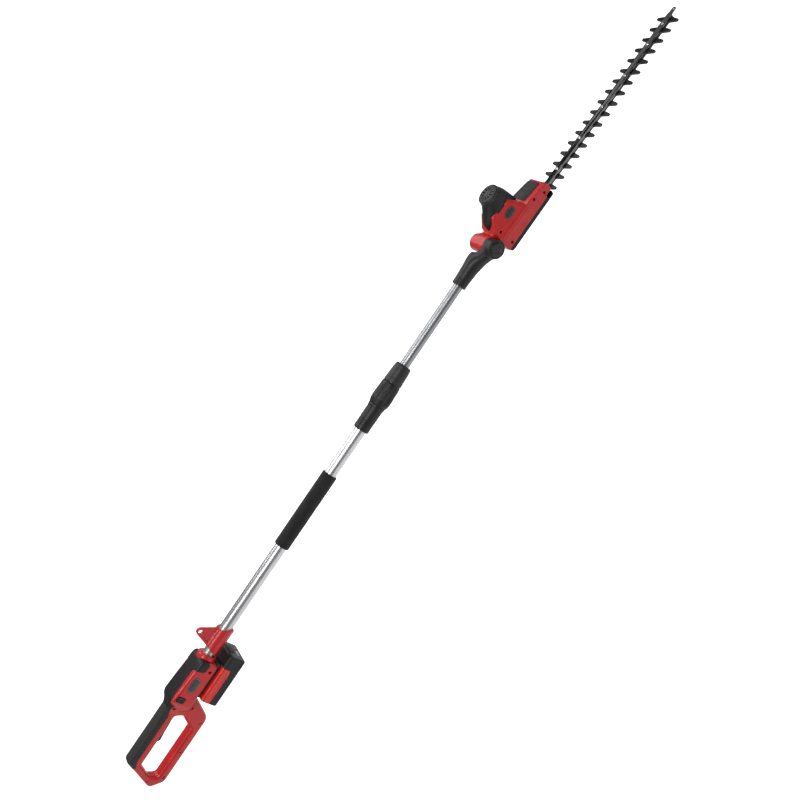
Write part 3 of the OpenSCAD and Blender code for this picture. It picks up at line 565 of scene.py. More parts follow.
class Shader:
    """Short-hands for the nodes of one tree."""

    def __init__(self, tree):
        self.tree = tree
        self.normal = None

    def add(self, kind):
        return self.tree.nodes.new("ShaderNode" + kind)

    def feed(self, value, socket):
        """Links a socket, or sets a number or an RGB colour."""
        if isinstance(value, bpy.types.NodeSocket):
            self.tree.links.new(value, socket)
        else:
            socket.default_value = (*value, 1) if isinstance(value, tuple) else value

    def noise(self, scale, detail=3, roughness=0.5, stretch=None):
        node = self.add("TexNoise")
        node.inputs["Scale"].default_value = scale
        node.inputs["Detail"].default_value = detail
        node.inputs["Roughness"].default_value = roughness
        coords = self.coords
        if stretch:
            mapping = self.add("Mapping")
            mapping.inputs["Scale"].default_value = stretch
            self.feed(coords, mapping.inputs[0])
            coords = mapping.outputs[0]
        self.feed(coords, node.inputs["Vector"])
        return node.outputs["Fac"]

    def cells(self, scale):
        node = self.add("TexVoronoi")
        node.inputs["Scale"].default_value = scale
        self.feed(self.coords, node.inputs["Vector"])
        return node.outputs["Distance"]

    def remap(self, value, span=MIDDLE, to=(0.0, 1.0)):
        node = self.add("MapRange")
        for name, number in zip(("From Min", "From Max", "To Min", "To Max"), (*span, *to)):
            node.inputs[name].default_value = number
        self.feed(value, node.inputs["Value"])
        return node.outputs[0]

    def math(self, operation, a, b):
        node = self.add("Math")
        node.operation = operation
        self.feed(a, node.inputs[0])
        self.feed(b, node.inputs[1])
        return node.outputs[0]

    def mix(self, factor, a, b):
        node = self.add("Mix")
        node.data_type = "RGBA"
        for value, socket in ((factor, 0), (a, 6), (b, 7)):
            self.feed(value, node.inputs[socket])
        return node.outputs[2]

    def vary(self, mask, colour, dark, light):
        """Colour that drifts between a darker and a lighter multiple."""
        return self.mix(self.remap(mask), shade(colour, dark), shade(colour, light))

    def bump(self, height, distance, strength):
        """Adds a relief layer over those before it; the distance is in metres."""
        node = self.add("Bump")
        node.inputs["Distance"].default_value = distance
        node.inputs["Strength"].default_value = strength
        self.feed(height, node.inputs["Height"])
        if self.normal:
            self.feed(self.normal, node.inputs["Normal"])
        self.normal = node.outputs[0]
        self.feed(self.normal, self.bsdf.inputs["Normal"])

    def surface(self, values):
        for name, value in values.items():
            self.feed(value, self.bsdf.inputs[name])


def new_material(name):
    material = bpy.data.materials.new(name)
    material.use_nodes = True
    material.node_tree.nodes.clear()
    shader = Shader(material.node_tree)
    output = shader.add("OutputMaterial")
    shader.bsdf = shader.add("BsdfPrincipled")
    shader.feed(shader.bsdf.outputs[0], output.inputs[0])
    shader.coords = shader.add("TexCoord").outputs["Object"]
    return material, shader


def shade(colour, factor):
    return tuple(min(1.0, v * factor) for v in colour)


def plastic(name, colour, roughness=0.42, grain_height=0.00004, wear=0.25, specular=0.5,
            coat=0.0):
    """Moulded plastic: fine spark-eroded grain, faint flow mottling, scuffs and paler edges."""
    material, sh = new_material(name)
    mottle = sh.noise(scale=38, detail=4)
    base = sh.vary(mottle, colour, dark=0.9, light=1.07)
    scuffs = sh.noise(scale=420, detail=6, roughness=0.7, stretch=(1, 1, 0.35))
    edges = sh.remap(sh.add("NewGeometry").outputs["Pointiness"], span=(0.515, 0.58))
    patches = sh.remap(sh.noise(scale=160, detail=5, roughness=0.7), span=(0.42, 0.68))
    worn = sh.math("MULTIPLY", sh.math("MULTIPLY", edges, patches), wear)
    pale = tuple(v + (1 - v) * 0.28 for v in colour)
    base = sh.mix(worn, base, pale)
    scuffed = sh.remap(scuffs, span=(0.3, 0.75), to=(roughness - 0.05, roughness + 0.12))
    sh.surface({
        "Base Color": base,
        "Roughness": sh.math("ADD", scuffed, sh.remap(mottle, to=(-0.03, 0.03))),
        "Specular IOR Level": specular,
        "Coat Weight": coat,
        "Coat Roughness": 0.2,
    })
    sh.bump(sh.noise(scale=140, detail=2), distance=0.0004, strength=0.12)
    sh.bump(sh.noise(scale=2600, roughness=0.6), distance=grain_height, strength=0.55)
    sh.bump(scuffs, distance=0.00003, strength=0.15)
    return material


def rubber(name, colour, scale=900, height=0.00018, roughness=0.72):
    """Soft overmould: raised pips with a painted highlight on their tops, and a dull, dusty sheen.
    """
    material, sh = new_material(name)
    mottle = sh.noise(scale=50, detail=4)
    base = sh.vary(mottle, colour, dark=0.8, light=1.25)
    pips = sh.remap(sh.cells(scale), span=(0.1, 0.6), to=(1, 0))
    # painted highlight: the raised pips are drawn lighter, as if catching the light
    sh.surface({
        "Base Color": sh.mix(sh.math("MULTIPLY", pips, 0.25), base, shade(colour, 1.9)),
        "Roughness": sh.remap(mottle, to=(roughness - 0.06, roughness + 0.08)),
        "Sheen Weight": 0.12,
        "Sheen Roughness": 0.5,
    })
    sh.bump(pips, distance=height, strength=0.6)
    sh.bump(sh.noise(scale=4000, detail=2), distance=0.00003, strength=0.4)
    return material


def foam(name, colour):
    """Closed-cell foam sleeve: two sizes of burst cells on a matt skin, with painted shade in the
    small cells' pits.
    """
    material, sh = new_material(name)
    big = sh.remap(sh.cells(700), span=(0.05, 0.55))
    small = sh.remap(sh.cells(1900), span=(0.05, 0.5))
    mottle = sh.noise(scale=60, detail=5, roughness=0.6)
    base = sh.vary(mottle, colour, dark=0.75, light=1.3)
    # painted shade: the small cells' pits are drawn darker, as if shaded
    pit_shade = sh.math("MULTIPLY", sh.math("SUBTRACT", 1.0, small), 0.5)
    sh.surface({
        "Base Color": sh.mix(pit_shade, base, shade(colour, 0.35)),
        "Roughness": 0.95,
        "Specular IOR Level": 0.2,
        "Sheen Weight": 0.2,
    })
    sh.bump(sh.noise(scale=90), distance=0.0012, strength=0.3)
    sh.bump(big, distance=0.0004, strength=0.5)
    sh.bump(small, distance=0.00018, strength=0.6)
    return material


def side_mask(sh):
    """1 on faces that lean away from the object's Z axis, 0 on flat ones."""
    geometry = sh.add("NewGeometry")
    local = sh.add("VectorTransform")
    local.vector_type = "NORMAL"
    local.convert_from = "WORLD"
    local.convert_to = "OBJECT"
    sh.feed(geometry.outputs["True Normal"], local.inputs[0])
    parts = sh.add("SeparateXYZ")
    sh.feed(local.outputs[0], parts.inputs[0])
    return sh.remap(sh.math("ABSOLUTE", parts.outputs[2], 0), span=(0.80, 0.95), to=(1, 0))


def metal(name, colour, roughness=0.3, brush=(1, 1, 1), brush_scale=500, tint=None, ground=None,
          aniso=0.0):
    """Metal with a grain stretched by brush, cloudy oxide and fine scratches.

    tint colours patches; ground is the bright colour of bevels and edges.
    """
    material, sh = new_material(name)
    grain = sh.noise(scale=brush_scale, detail=6, roughness=0.7, stretch=brush)
    cloud = sh.noise(scale=22, detail=4, roughness=0.6)
    base = sh.vary(cloud, colour, dark=0.92, light=1.06)
    lines = sh.math("MULTIPLY", sh.remap(grain, span=(0.35, 0.7)), 0.35)
    base = sh.mix(lines, base, shade(colour, 0.82))
    if tint:
        patches = sh.remap(sh.noise(scale=70, detail=5, roughness=0.7), span=(0.5, 0.75))
        base = sh.mix(sh.math("MULTIPLY", patches, 0.5), base, tint)
    if ground:
        base = sh.mix(side_mask(sh), base, ground)
    sh.surface({
        "Base Color": base,
        "Metallic": 1.0,
        "Roughness": sh.remap(grain, to=(roughness - 0.06, roughness + 0.12)),
        "Anisotropic": aniso,
    })
    scratches = sh.noise(scale=260, detail=8, roughness=0.8, stretch=(1, 0.15, 1))
    sh.bump(grain, distance=0.00003, strength=0.5)
    sh.bump(scratches, distance=0.00002, strength=0.15)
    return material


# ------------------------------------------------------------------ finishes
ALONG_X = (0.02, 1, 1)   # stretch of a grain drawn along the pole
FINE = 0.00001           # grain height of polished mouldings
FINISHES = {
    "red": plastic("red_plastic", (0.56, 0.010, 0.012), roughness=0.32, coat=0.35),
    "red_bright": plastic("red_battery", (0.70, 0.022, 0.012), roughness=0.28, coat=0.45),
    "black": plastic("black_plastic", (0.013, 0.013, 0.015), roughness=0.40, wear=0.3,
                     specular=0.42),
    "black_gloss": plastic("black_smooth", (0.014, 0.014, 0.016), roughness=0.24,
                           grain_height=0.000015, wear=0.2),
    "dark": plastic("dark_grey_plastic", (0.022, 0.022, 0.025), roughness=0.45, wear=0.3),
    "label": plastic("label_plate", (0.03, 0.031, 0.034), roughness=0.22, grain_height=FINE,
                     wear=0.1, coat=0.4),
    "label_rim": metal("label_rim", (0.30, 0.29, 0.28), roughness=0.35),
    "rubber": rubber("soft_grip_rubber", (0.013, 0.013, 0.014), roughness=0.6),
    "foam": foam("foam_sleeve", (0.018, 0.018, 0.019)),
    "tube": metal("anodised_aluminium", (0.80, 0.80, 0.82), roughness=0.34, brush=ALONG_X,
                  brush_scale=900, aniso=0.3),
    "tube_inner": metal("grey_aluminium", (0.42, 0.43, 0.45), roughness=0.36, brush=ALONG_X,
                        brush_scale=900, aniso=0.3),
    "blade": metal("blade_steel", (0.040, 0.040, 0.043), roughness=0.38, brush=(1, 0.06, 1),
                   brush_scale=700, tint=(0.025, 0.025, 0.028), ground=(0.11, 0.11, 0.12)),
    "bar": metal("guide_bar_steel", (0.17, 0.17, 0.175), roughness=0.36, brush=(0.05, 1, 1),
                 brush_scale=700, ground=(0.26, 0.26, 0.27)),
    "steel": metal("zinc_steel", (0.62, 0.62, 0.6), brush_scale=600, tint=(0.52, 0.5, 0.44)),
    "spring": metal("spring_steel", (0.55, 0.55, 0.57), roughness=0.25, brush_scale=900),
    "gear": metal("sintered_steel", (0.40, 0.40, 0.41), roughness=0.42, brush_scale=1500),
    "bronze": metal("bronze", (0.60, 0.38, 0.17), roughness=0.35, brush_scale=900),
    "copper": metal("contact_copper", (0.72, 0.40, 0.20), brush_scale=900),
    "white": plastic("natural_nylon", (0.72, 0.71, 0.67), roughness=0.5),
    "board": plastic("board_green", (0.02, 0.12, 0.05), roughness=0.4),
    "cell": plastic("cell_wrap", (0.05, 0.17, 0.28), roughness=0.35),
    "lens": plastic("gauge_lens", (0.55, 0.56, 0.52), roughness=0.15, grain_height=FINE),
    "cable": rubber("cable_rubber", (0.012, 0.012, 0.012), scale=1500, height=0.00005,
                    roughness=0.6),
}


def dress(ob, finish):
    ob.data.materials.clear()
    ob.data.materials.append(FINISHES[finish])
    return ob


def stand_in(ob, body, node):
    """Lets an object move with a body and take a CAD node's place."""
    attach(ob, body)
    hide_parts(node)


def piece(ob, finish, body, node):
    stand_in(dress(ob, finish), body, node)


# ------------------------------------------------------------------ rear unit
# (x, z, corner radius): the loop handle's outside and its hand opening
HANDLE_OUTER = rounded([(-326, 20, 9), (-366, -62, 13), (-342, -88, 18), (-170, -88, 22),
                        (-131, -27, 3), (-131, 8, 3), (-184, 20, 3)])
HANDLE_INNER = rounded([(-322, -14, 9), (-192, -14, 6), (-185, -31, 6), (-206, -64, 9),
                        (-335, -64, 9), (-341, -46, 6)])
# body outlines round circles of (first, second, radius): side (x, z), plan (x, y), end (y, z)
BODY_SIDE = hull2d([(-150, 16, 14), (-59, 6.5, 13.5), (-176, 4, 11), (-164, -18, 8),
                    (-52, -18, 8)])
BODY_PLAN = hull2d(pairs([(-150, 17, 14), (-59, 16, 13.5), (-176, 6, 11), (-164, 16, 8),
                          (-52, 24, 8), (-140, 24, 8)]))
BODY_END = hull2d([(side * y, z, r) for y, z, r in ((17, 16, 14), (16, 6.5, 13.5), (24, -18, 8))
                   for side in (-1, 1)])
# (x, z, corner radius): overlay regions in side view
GRIP_SIDE = rounded([(-347, 30, 2), (-335, -5, 6), (-316, 3, 9), (-196, 3, 7), (-179, 10, 5),
                     (-173, 30, 0)])
COVER_DROP = rounded([(-77, 42, 0), (-69, -1, 5), (-47, -3, 5), (-44.5, 42, 0)])
COVER_PLAN = [(-181, -26), (-43, -18.5), (-43, 18.5), (-181, 26)]   # (x, y)
COVER_CUT = rounded([(-230, 60, 0), (-230, 0, 0), (-179, 10.0, 5), (-172.6, 30, 0),
                     (-172, 60, 0)])
REAR_SCREWS = [(-349, -46), (-330, -76), (-262, -76), (-185, -76), (-172, 4), (-160, -36),
               (-64, -12)]   # (x, z)
TRIGGER_PIN = (-200, -8)     # (x, z)
PIN_HOLE_R = 2.1
SPLIT_GAP = 0.14             # each shell half stops this far from the middle plane
SIDES = ((-1, "right"), (1, "left"))


def half_bounds(side, low, high, width_right, width_left):
    """Sampling box of one shell half from (x, z) limits."""
    y0, y1 = (-width_right, 0.5) if side < 0 else (-0.5, width_left)
    return (low[0], y0, low[1]), (high[0], y1, high[1])


def body_skin(xyz):
    x, y, z = xyz
    return corner(poly(x, z, BODY_SIDE), np.maximum(poly(x, y, BODY_PLAN), poly(y, z, BODY_END)),
                  r=8)


def rear_skin(xyz):
    x, y, z = xyz
    loop = np.maximum(poly(x, z, HANDLE_OUTER), -poly(x, z, HANDLE_INNER))
    return soft_min(corner(loop, slab(y, 0, 15), r=9.5), body_skin(xyz), 9)


def cover_region(xyz):
    x, y, z = xyz
    top = corner(poly(x, y, COVER_PLAN), 10.5 - z, r=1.0)
    region = soft_min(top, poly(x, z, COVER_DROP), 6)
    region = carve(region, poly(x, z, COVER_CUT), 0.6)
    return soft_max(region, x + 46.0, 1.0)


def housing(xyz, side):
    """One half of the rear shell, with screw bosses and openings."""
    x, y, z = xyz
    skin = rear_skin(xyz)
    shell = carve(skin, skin + 3.9)
    overlays = np.minimum(poly(x, z, GRIP_SIDE), cover_region(xyz))
    shell = carve(shell, np.maximum(overlays - 0.3, -(skin + 1.4)), 0.4)
    for at in REAR_SCREWS:
        shell = np.minimum(shell, np.maximum(cyl_y(xyz, (-40, 40), 5.4, at), skin + 1.0))
        if side < 0:
            shell = carve(shell, cyl_y(xyz, (-60, -11.6), 3.5, at, 0.4), 0.7)
        shell = carve(shell, cyl_y(xyz, (-20, 20), 1.7, at, 0.1))
    shell = carve(shell, cyl_x(xyz, (-62, 10), 13.5, edge=0.2), 0.5)   # pole
    shell = carve(shell, box(xyz, (-266.5, -6.5, -26), (-193, 6.5, -4), 2.2), 0.8)   # trigger
    shell = carve(shell, box(xyz, (-127, -26, -42), (-43, 26, -22.6), 0.5), 0.6)   # battery
    shell = carve(shell, cyl_y(xyz, (-13.1, 13.1), PIN_HOLE_R, TRIGGER_PIN, 0.1))
    if side < 0:   # lock button
        shell = carve(shell, box(xyz, (-150.4, -60, 0.6), (-137.6, -8, 19.4), 3.0), 0.9)
    return soft_max(shell, -side * y + SPLIT_GAP, 0.6)


for side, side_name in SIDES:
    lo, hi = half_bounds(side, (-370, -90), (-40, 33), 36, 36)
    piece(field_mesh("shell_" + side_name, partial(housing, side=side), lo, hi, step=1.15),
          "red", "rear_unit", "housing_" + side_name)


def grip(xyz):
    """Soft grip with slanted ribs on both flanks, fading out towards their ends."""
    x, y, z = xyz
    skin = rear_skin(xyz)
    band = (fade(np.abs(y), 10.5, 2.5) * fade(x, -312, 14) * fade(x, -206, -14)
            * fade(z, 18.5, -3) * fade(z, 4.5, 2))
    ribs = 0.34 * band * ridges(x + 0.5 * z, pitch=5.2, gain=1.6)
    shell = np.maximum(skin - 0.75 + ribs, -(skin + 1.2))
    return soft_max(shell, poly(x, z, GRIP_SIDE), 0.9)


piece(field_mesh("grip_overmould", grip, (-350, -18, -10), (-170, 18, 24), step=0.95),
      "rubber", "rear_unit", "soft_grip")


def top_cover(xyz):
    """Cover with two shallow grooves along its crown."""
    x, y, _ = xyz
    skin = rear_skin(xyz)
    grooves = groove(np.abs(y), 9.5, 1.0, depth=0.5) * fade(x, -150, 12) * fade(x, -70, -12)
    shell = np.maximum(skin - 1.0 + grooves, -(skin + 1.2))
    return soft_max(shell, cover_region(xyz), 1.0)


piece(field_mesh("body_top_cover", top_cover, (-184, -36, -8), (-44, 36, 34), step=1.0),
      "black", "rear_unit", "top_cover")


def front_collar(xyz):
    x, y, z = xyz
    r = radius_of(y, z)
    outer = np.interp(x, [-52, -44, -39.5, -37.4], [22, 22.6, 21.2, 19.2])
    shape = corner(r - outer, slab(x, -44.7, 7.25), r=1.6)
    shape = shape + groove(x, -41.0, 0.5, depth=0.45)
    shape = carve(shape, body_skin(xyz) - 1.15, 0.5)
    return carve(shape, r - 13.5, 0.5)


piece(field_mesh("tube_collar", front_collar, (-53, -24, -24), (-32, 24, 24), step=0.8),
      "red", "rear_unit", "front_collar")


# ------------------------------------------------------------------ label plates
def lozenge(grow, half_length, half_height, long_edge, short_edge, shoulder_r, tip_r):
    """Skewed hexagon; the edges' ends lie at long_edge and short_edge from the middle."""
    length, height = half_length + grow, half_height + grow
    return rounded([(-length, 0, tip_r), (-long_edge, height, shoulder_r),
                    (short_edge, height, shoulder_r), (length, 0, tip_r),
                    (long_edge, -height, shoulder_r), (-short_edge, -height, shoulder_r)], 8)


def on_flank(side, centre, lean, turn):
    """Lays a plate on a flank: turned in its plane, leaned about X, then moved to centre."""
    def place(points):
        u, v, w = points.T
        u, v = u * math.cos(turn) - v * math.sin(turn), u * math.sin(turn) + v * math.cos(turn)
        y = -w * math.cos(lean) - v * math.sin(lean) + centre[1]
        z = v * math.cos(lean) - w * math.sin(lean) + centre[2]
        return np.stack([u + centre[0], -y if side > 0 else y, z], 1)
    return place


def label_pair(name, body, node, sizes, rim, back, centre, lean, turn=0.0, head=False):
    """A blank lozenge with a thin bright rim on each flank.

    sizes are the lozenge's; rim holds the growth of the rim's two edges; back is the rear face.
    """
    parts = []
    for side in (-1, 1):
        place = on_flank(side, centre, math.radians(lean), math.radians(turn))
        parts.append(dress(plate("label", [lozenge(0, *sizes)], back, 1.0, 0.5,
                                 head=head, place=place), "label"))
        parts.append(dress(plate("rim", [lozenge(grow, *sizes) for grow in rim], 0.7, 1.25, 0.12,
                                 head=head, place=place), "label_rim"))
    stand_in(join(name, parts), body, node)


label_pair("body_label_plates", "rear_unit", "rear_label_plates",
           sizes=(24.0, 9.4, 10.0, 12.0, 12.0, 7.0), rim=(-1.6, -2.5), back=-1.4,
           centre=(-103, -30.9, 3.5), lean=-3.2, turn=-1)

# ------------------------------------------------------------------ trigger and lock button
TRIGGER_SIDE = rounded([(-263, -9.6, 1.5), (-264, -15, 3), (-256, -21, 4), (-232, -18.5, 20),
                        (-208, -17, 8), (-203, -13.2, 2), (-202, -9.6, 0)])   # (x, z, radius)


def trigger(xyz):
    """Curved finger piece with shallow ridges."""
    x, y, z = xyz
    ribs = 0.3 * ridges(x, 3.4) * fade(x, -256, 3) * fade(x, -216, -3) * fade(z, -15.5, -1.5)
    shape = corner(poly(x, z, TRIGGER_SIDE) + ribs, slab(y, 0, 5.8), r=1.8)
    shape = soft_min(shape, cyl_y(xyz, (-5.8, 5.8), 4.9, TRIGGER_PIN, 0.6), 1.0)
    return carve(shape, cyl_y(xyz, (-8, 8), PIN_HOLE_R, TRIGGER_PIN, 0.1))


piece(field_mesh("finger_trigger", trigger, (-266, -7, -23), (-194, 7, -2), step=0.7),
      "black", "trigger", "trigger")


def lock_button(xyz):
    """Ridged button on the right flank with a flange inside the shell."""
    _, y, z = xyz
    button = box(xyz, (-150, -34.4, 1), (-138, -18, 19), 2.2)
    button = button + 0.45 * ridges(z, 3.2) * fade(y, -31.5, -1.5) * (slab(z, 10, 6.5) < 0)
    return np.minimum(button, box(xyz, (-152.5, -22, -1.5), (-135.5, -20, 21.5), 0.6))


piece(field_mesh("lock_button", lock_button, (-154, -36, -3), (-134, -17, 23), step=0.7),
      "black_gloss", "lock_off_button", "lock_off_button")

# ------------------------------------------------------------------ battery pack
PACK_END = rounded([(-35.5, -31, 8), (35.5, -31, 8), (35.5, -73, 7), (-35.5, -73, 7)], 8)
PACK_SIDE = rounded([(-129, -30, 2), (-129, -73, 5), (-11, -73, 6), (-11, -30, 9)], 8)
# (x, z, radius): the part of the pack that is tray; the rest is its red cover
TRAY_SIDE = rounded([(-140, -53, 0), (-48, -53.6, 2), (-42.6, -51, 2), (-42.6, -20, 0),
                     (0, -20, 0), (0, -90, 0), (-140, -90, 0)])
SLOT_PITCH, SLOT_FIRST_X, SLOT_LAST = 7.6, -118, 8   # upright slots, numbered from 0


def pack_block(xyz):
    x, y, z = xyz
    return corner(poly(y, z, PACK_END), poly(x, z, PACK_SIDE), r=3.0)


def battery_tray(xyz):
    x, y, z = xyz
    shape = pack_block(xyz)
    width = np.abs(y)
    number = np.clip(np.round((x - SLOT_FIRST_X) / SLOT_PITCH), 0, SLOT_LAST)
    slots = corner(slab(x, number * SLOT_PITCH + SLOT_FIRST_X, 1.5), slab(z, -62.5, 4.6), r=1.4)
    shape = carve(shape, corner(slots, 34.4 - width, r=0.3), 0.5)
    ledge = corner(slab(x, -27, 9), slab(z, -54, 9.5), r=3)   # finger recess at the front
    shape = carve(shape, corner(ledge, 34.9 - width, r=0.3), 0.8)
    shape = soft_max(shape, poly(x, z, TRAY_SIDE), 0.7)
    shape = carve(shape, box(xyz, (-126.4, -32.6, -70.4), (-44, 32.6, -40), 2), 0.3)
    for lo, hi, r in (((-38.2, -12.4, -48.7), (-5, 12.4, -35.3), 1.0),   # latch
                      ((-16, 7.6, -61.4), (-5, 16.4, -56.6), 0.5),       # gauge button
                      ((-13, -16.4, -61.4), (-5, 4.4, -56.6), 0.5)):     # gauge lens
        shape = carve(shape, box(xyz, lo, hi, r))
    return shape


def battery_cover(xyz):
    x, y, z = xyz
    shape = pack_block(xyz)
    recess = corner(slab(x, -88, 31), slab(z, -44.6, 4.6), r=3.5)   # long panel on each flank
    shape = carve(shape, corner(recess, 34.7 - np.abs(y), r=0.3), 0.9)
    for at in (-124.4, -121.0):
        shape = shape + groove(x, at, 0.6, depth=0.35)
    shape = carve(shape, poly(x, z, TRAY_SIDE) - 0.35, 0.7)
    for lo, hi, r, soft in (((-126.4, -32.6, -60), (-45, 32.6, -40), 2, 0.3),
                            ((-140, -17.6, -35), (-43.4, 17.6, -20), 0.5, 0.5),
                            ((-140, -21.6, -37.2), (-43.4, 21.6, -32.8), 0.3, 0.4)):
        shape = carve(shape, box(xyz, lo, hi, r), soft)
    return shape


def latch(xyz):
    """Block with ridges on its front face."""
    x, y, z = xyz
    ribs = 0.4 * ridges(z, 2.6) * fade(x, -10.5, 1.2) * (np.abs(y) < 9) * (np.abs(z + 42) < 4.6)
    return box(xyz, (-30, -12, -48.3), (-8.6, 12, -35.7), 2.2) + ribs


piece(field_mesh("battery_tray", battery_tray, (-130, -37, -74), (-10, 37, -29), step=1.0),
      "black", "battery", "battery_case")
piece(field_mesh("battery_shell", battery_cover, (-130, -37, -55), (-42, 37, -29), step=1.0),
      "red_bright", "battery", "battery_cover")
piece(field_mesh("latch_button", latch, (-31, -13, -49), (-7, 13, -35), step=0.6),
      "dark", "battery_latch", "battery_latch")
gauge_key = partial(box, lo=(-13.4, 8, -61), hi=(-9.8, 16, -57), r=0.9)
piece(field_mesh("gauge_key", gauge_key, (-14, 7, -62), (-9, 17, -56), step=0.35),
      "red", "gauge_button", "gauge_button")

# ------------------------------------------------------------------ strap lug
# (x, z, radius): the lug's outline and the sunk panel in its fin
LUG_SIDE = rounded([(-37, -18.4, 4), (37, -18.4, 4), (5.5, 56.2, 8.5), (-5.5, 56.2, 8.5)], 8)
LUG_PANEL = rounded([(-15, 20, 2.5), (15, 20, 2.5), (5.5, 38, 3), (-5.5, 38, 3)])


def strap_lug(xyz):
    x, y, z = xyz
    r = radius_of(y, z)
    saddle = corner(r - 18.2, slab(x, 0, 36), r=1.5)
    # the saddle's ends are cut back where they pass behind the fin
    saddle = soft_max(saddle, (z - 3) * 0.9 + (np.abs(x) - 30) * 0.75 - 6, 2.0)
    foot = box(xyz, (-36, -9, -18.2), (36, 9, -4), 1.5)
    fin = box(xyz, (-36, -4.6, 0), (36, 4.6, 60), 1.6)
    shape = soft_min(soft_min(saddle, foot, 2), fin, 5)
    shape = corner(shape, poly(x, z, LUG_SIDE), r=1.6)
    shape = carve(shape, corner(poly(x, z, LUG_PANEL), 2.9 - np.abs(y), r=0.5), 1.0)
    shape = carve(shape, radius_of(x, z - 47) - 5.5, 1.2)   # eye
    shape = carve(shape, r - 13.45, 0.6)                    # pole
    return carve(shape, cyl_z(xyz, (-40, -16.2), 4.3, edge=0.2), 0.5)


piece(field_mesh("strap_bracket", strap_lug, (-37, -20, -20), (37, 20, 58), step=0.85),
      "red", "rear_unit", "strap_lug")

# ------------------------------------------------------------------ pole
TUBE_WALL = 1.2
for name, start, end, tube_r, finish, body, node in (
        ("pole_lower", -61, 561, 13.4, "tube", "rear_unit", "lower_tube"),
        ("pole_upper", 150, 960, 11.0, "tube_inner", "upper_pole", "upper_tube")):
    profile = ringed([(start, tube_r, 0.3), (end, tube_r, 0.3)], tube_r - TUBE_WALL)
    piece(lathe(name, profile, seg=128), finish, body, node)

# foam sleeve, slightly uneven along its length
FOAM_START, FOAM_LENGTH, FOAM_END_R = 243, 187, 16.9
foam_outer = [(FOAM_START + FOAM_LENGTH * i / 24, 17.22 + 0.08 * math.sin(i * 1.7), 0)
              for i in range(1, 24)]
foam_outer = ([(FOAM_START, FOAM_END_R, 1.4)] + foam_outer
              + [(FOAM_START + FOAM_LENGTH, FOAM_END_R, 1.4)])
piece(lathe("foam_sleeve", ringed(foam_outer, 13.45), seg=128, angle=50),
      "foam", "rear_unit", "foam_grip")

# clamp barrel with three grooves; (x, radius, corner radius)
barrel_grooves = [(x + dx, r, 0.3) for x in (556, 562, 568)
                  for dx, r in ((0, 18), (0.6, 17.3), (2, 17.3), (2.6, 18))]
barrel = ([(545, 16.4, 1), (548, 18, 1.5)] + barrel_grooves
          + [(600, 18, 2), (604, 19.2, 1.5), (607.4, 19.2, 0.4), (607.5, 16.2, 0.2),
             (650, 16.2, 0.3)])
piece(lathe("clamp_barrel", ringed(barrel, 15.5)), "black", "rear_unit", "clamp_body")

FLUTE_R, FLUTE_CENTRE_R = 20, 41.5   # each flute's radius, and its axis from the pole's axis
NUT_START, NUT_END = 614, 662        # the flutes run out to nothing at these


def nut_flute(x, r, turn):
    """Six flutes, and fine grip ribs between them."""
    if r < 18:
        return r
    off = (turn + math.pi / 6) % (math.pi / 3) - math.pi / 6   # angle from the nearest flute
    room = FLUTE_R ** 2 - (FLUTE_CENTRE_R * math.sin(off)) ** 2
    out = r
    if room > 0 and NUT_START < x < NUT_END:
        cut = FLUTE_CENTRE_R * math.cos(off) - math.sqrt(room)
        share = fade(x, NUT_START, 5) * fade(x, NUT_END, -5)
        out = r + (soft_min(r, cut, 1.2) - r) * share
    if 622 < x < 656 and abs(off) > math.radians(19):
        out -= 0.22 * max(0, math.sin(turn * 72))
    return out


nut_crown = [(620 + i * 2, 23.6 + 0.4 * math.sin(i * 0.33) - 0.06 * i, 0) for i in range(18)]
nut = ([(608, 19.4, 0.8), (611, 20.6, 1), (616, 22.2, 2)] + nut_crown
       + [(657, 21.8, 1), (662, 21.4, 1), (664, 20.4, 0.5)])
piece(lathe("clamp_ring", ringed(nut, 16.45), seg=432, angle=50, flute=nut_flute),
      "black", "clamp_nut", "clamp_nut")
cone = [(664.4, 20.2, 0.8), (668, 20.8, 1.5), (676, 20.4, 0.3), (676.6, 19.8, 0.3),
        (678, 19.7, 0.3), (678.6, 20.2, 0.3), (698, 19.2, 3), (708, 18, 2.5), (711, 16, 1)]
piece(lathe("clamp_cone", ringed(cone, 11.4)), "dark", "clamp_nut", "clamp_collar")

# ------------------------------------------------------------------ coupling and knuckle
PIVOT_BOLT_R = 6.1
ARM_START, ARM_END = np.array([972.0, -2.0]), np.array([1012.0, -28.0])   # (x, y)
SLEEVE_X = [914, 917, 935, 955, 975, 984, 992]
SLEEVE_R = [15.6, 16.2, 16.6, 17.9, 19.6, 19.8, 17.5]


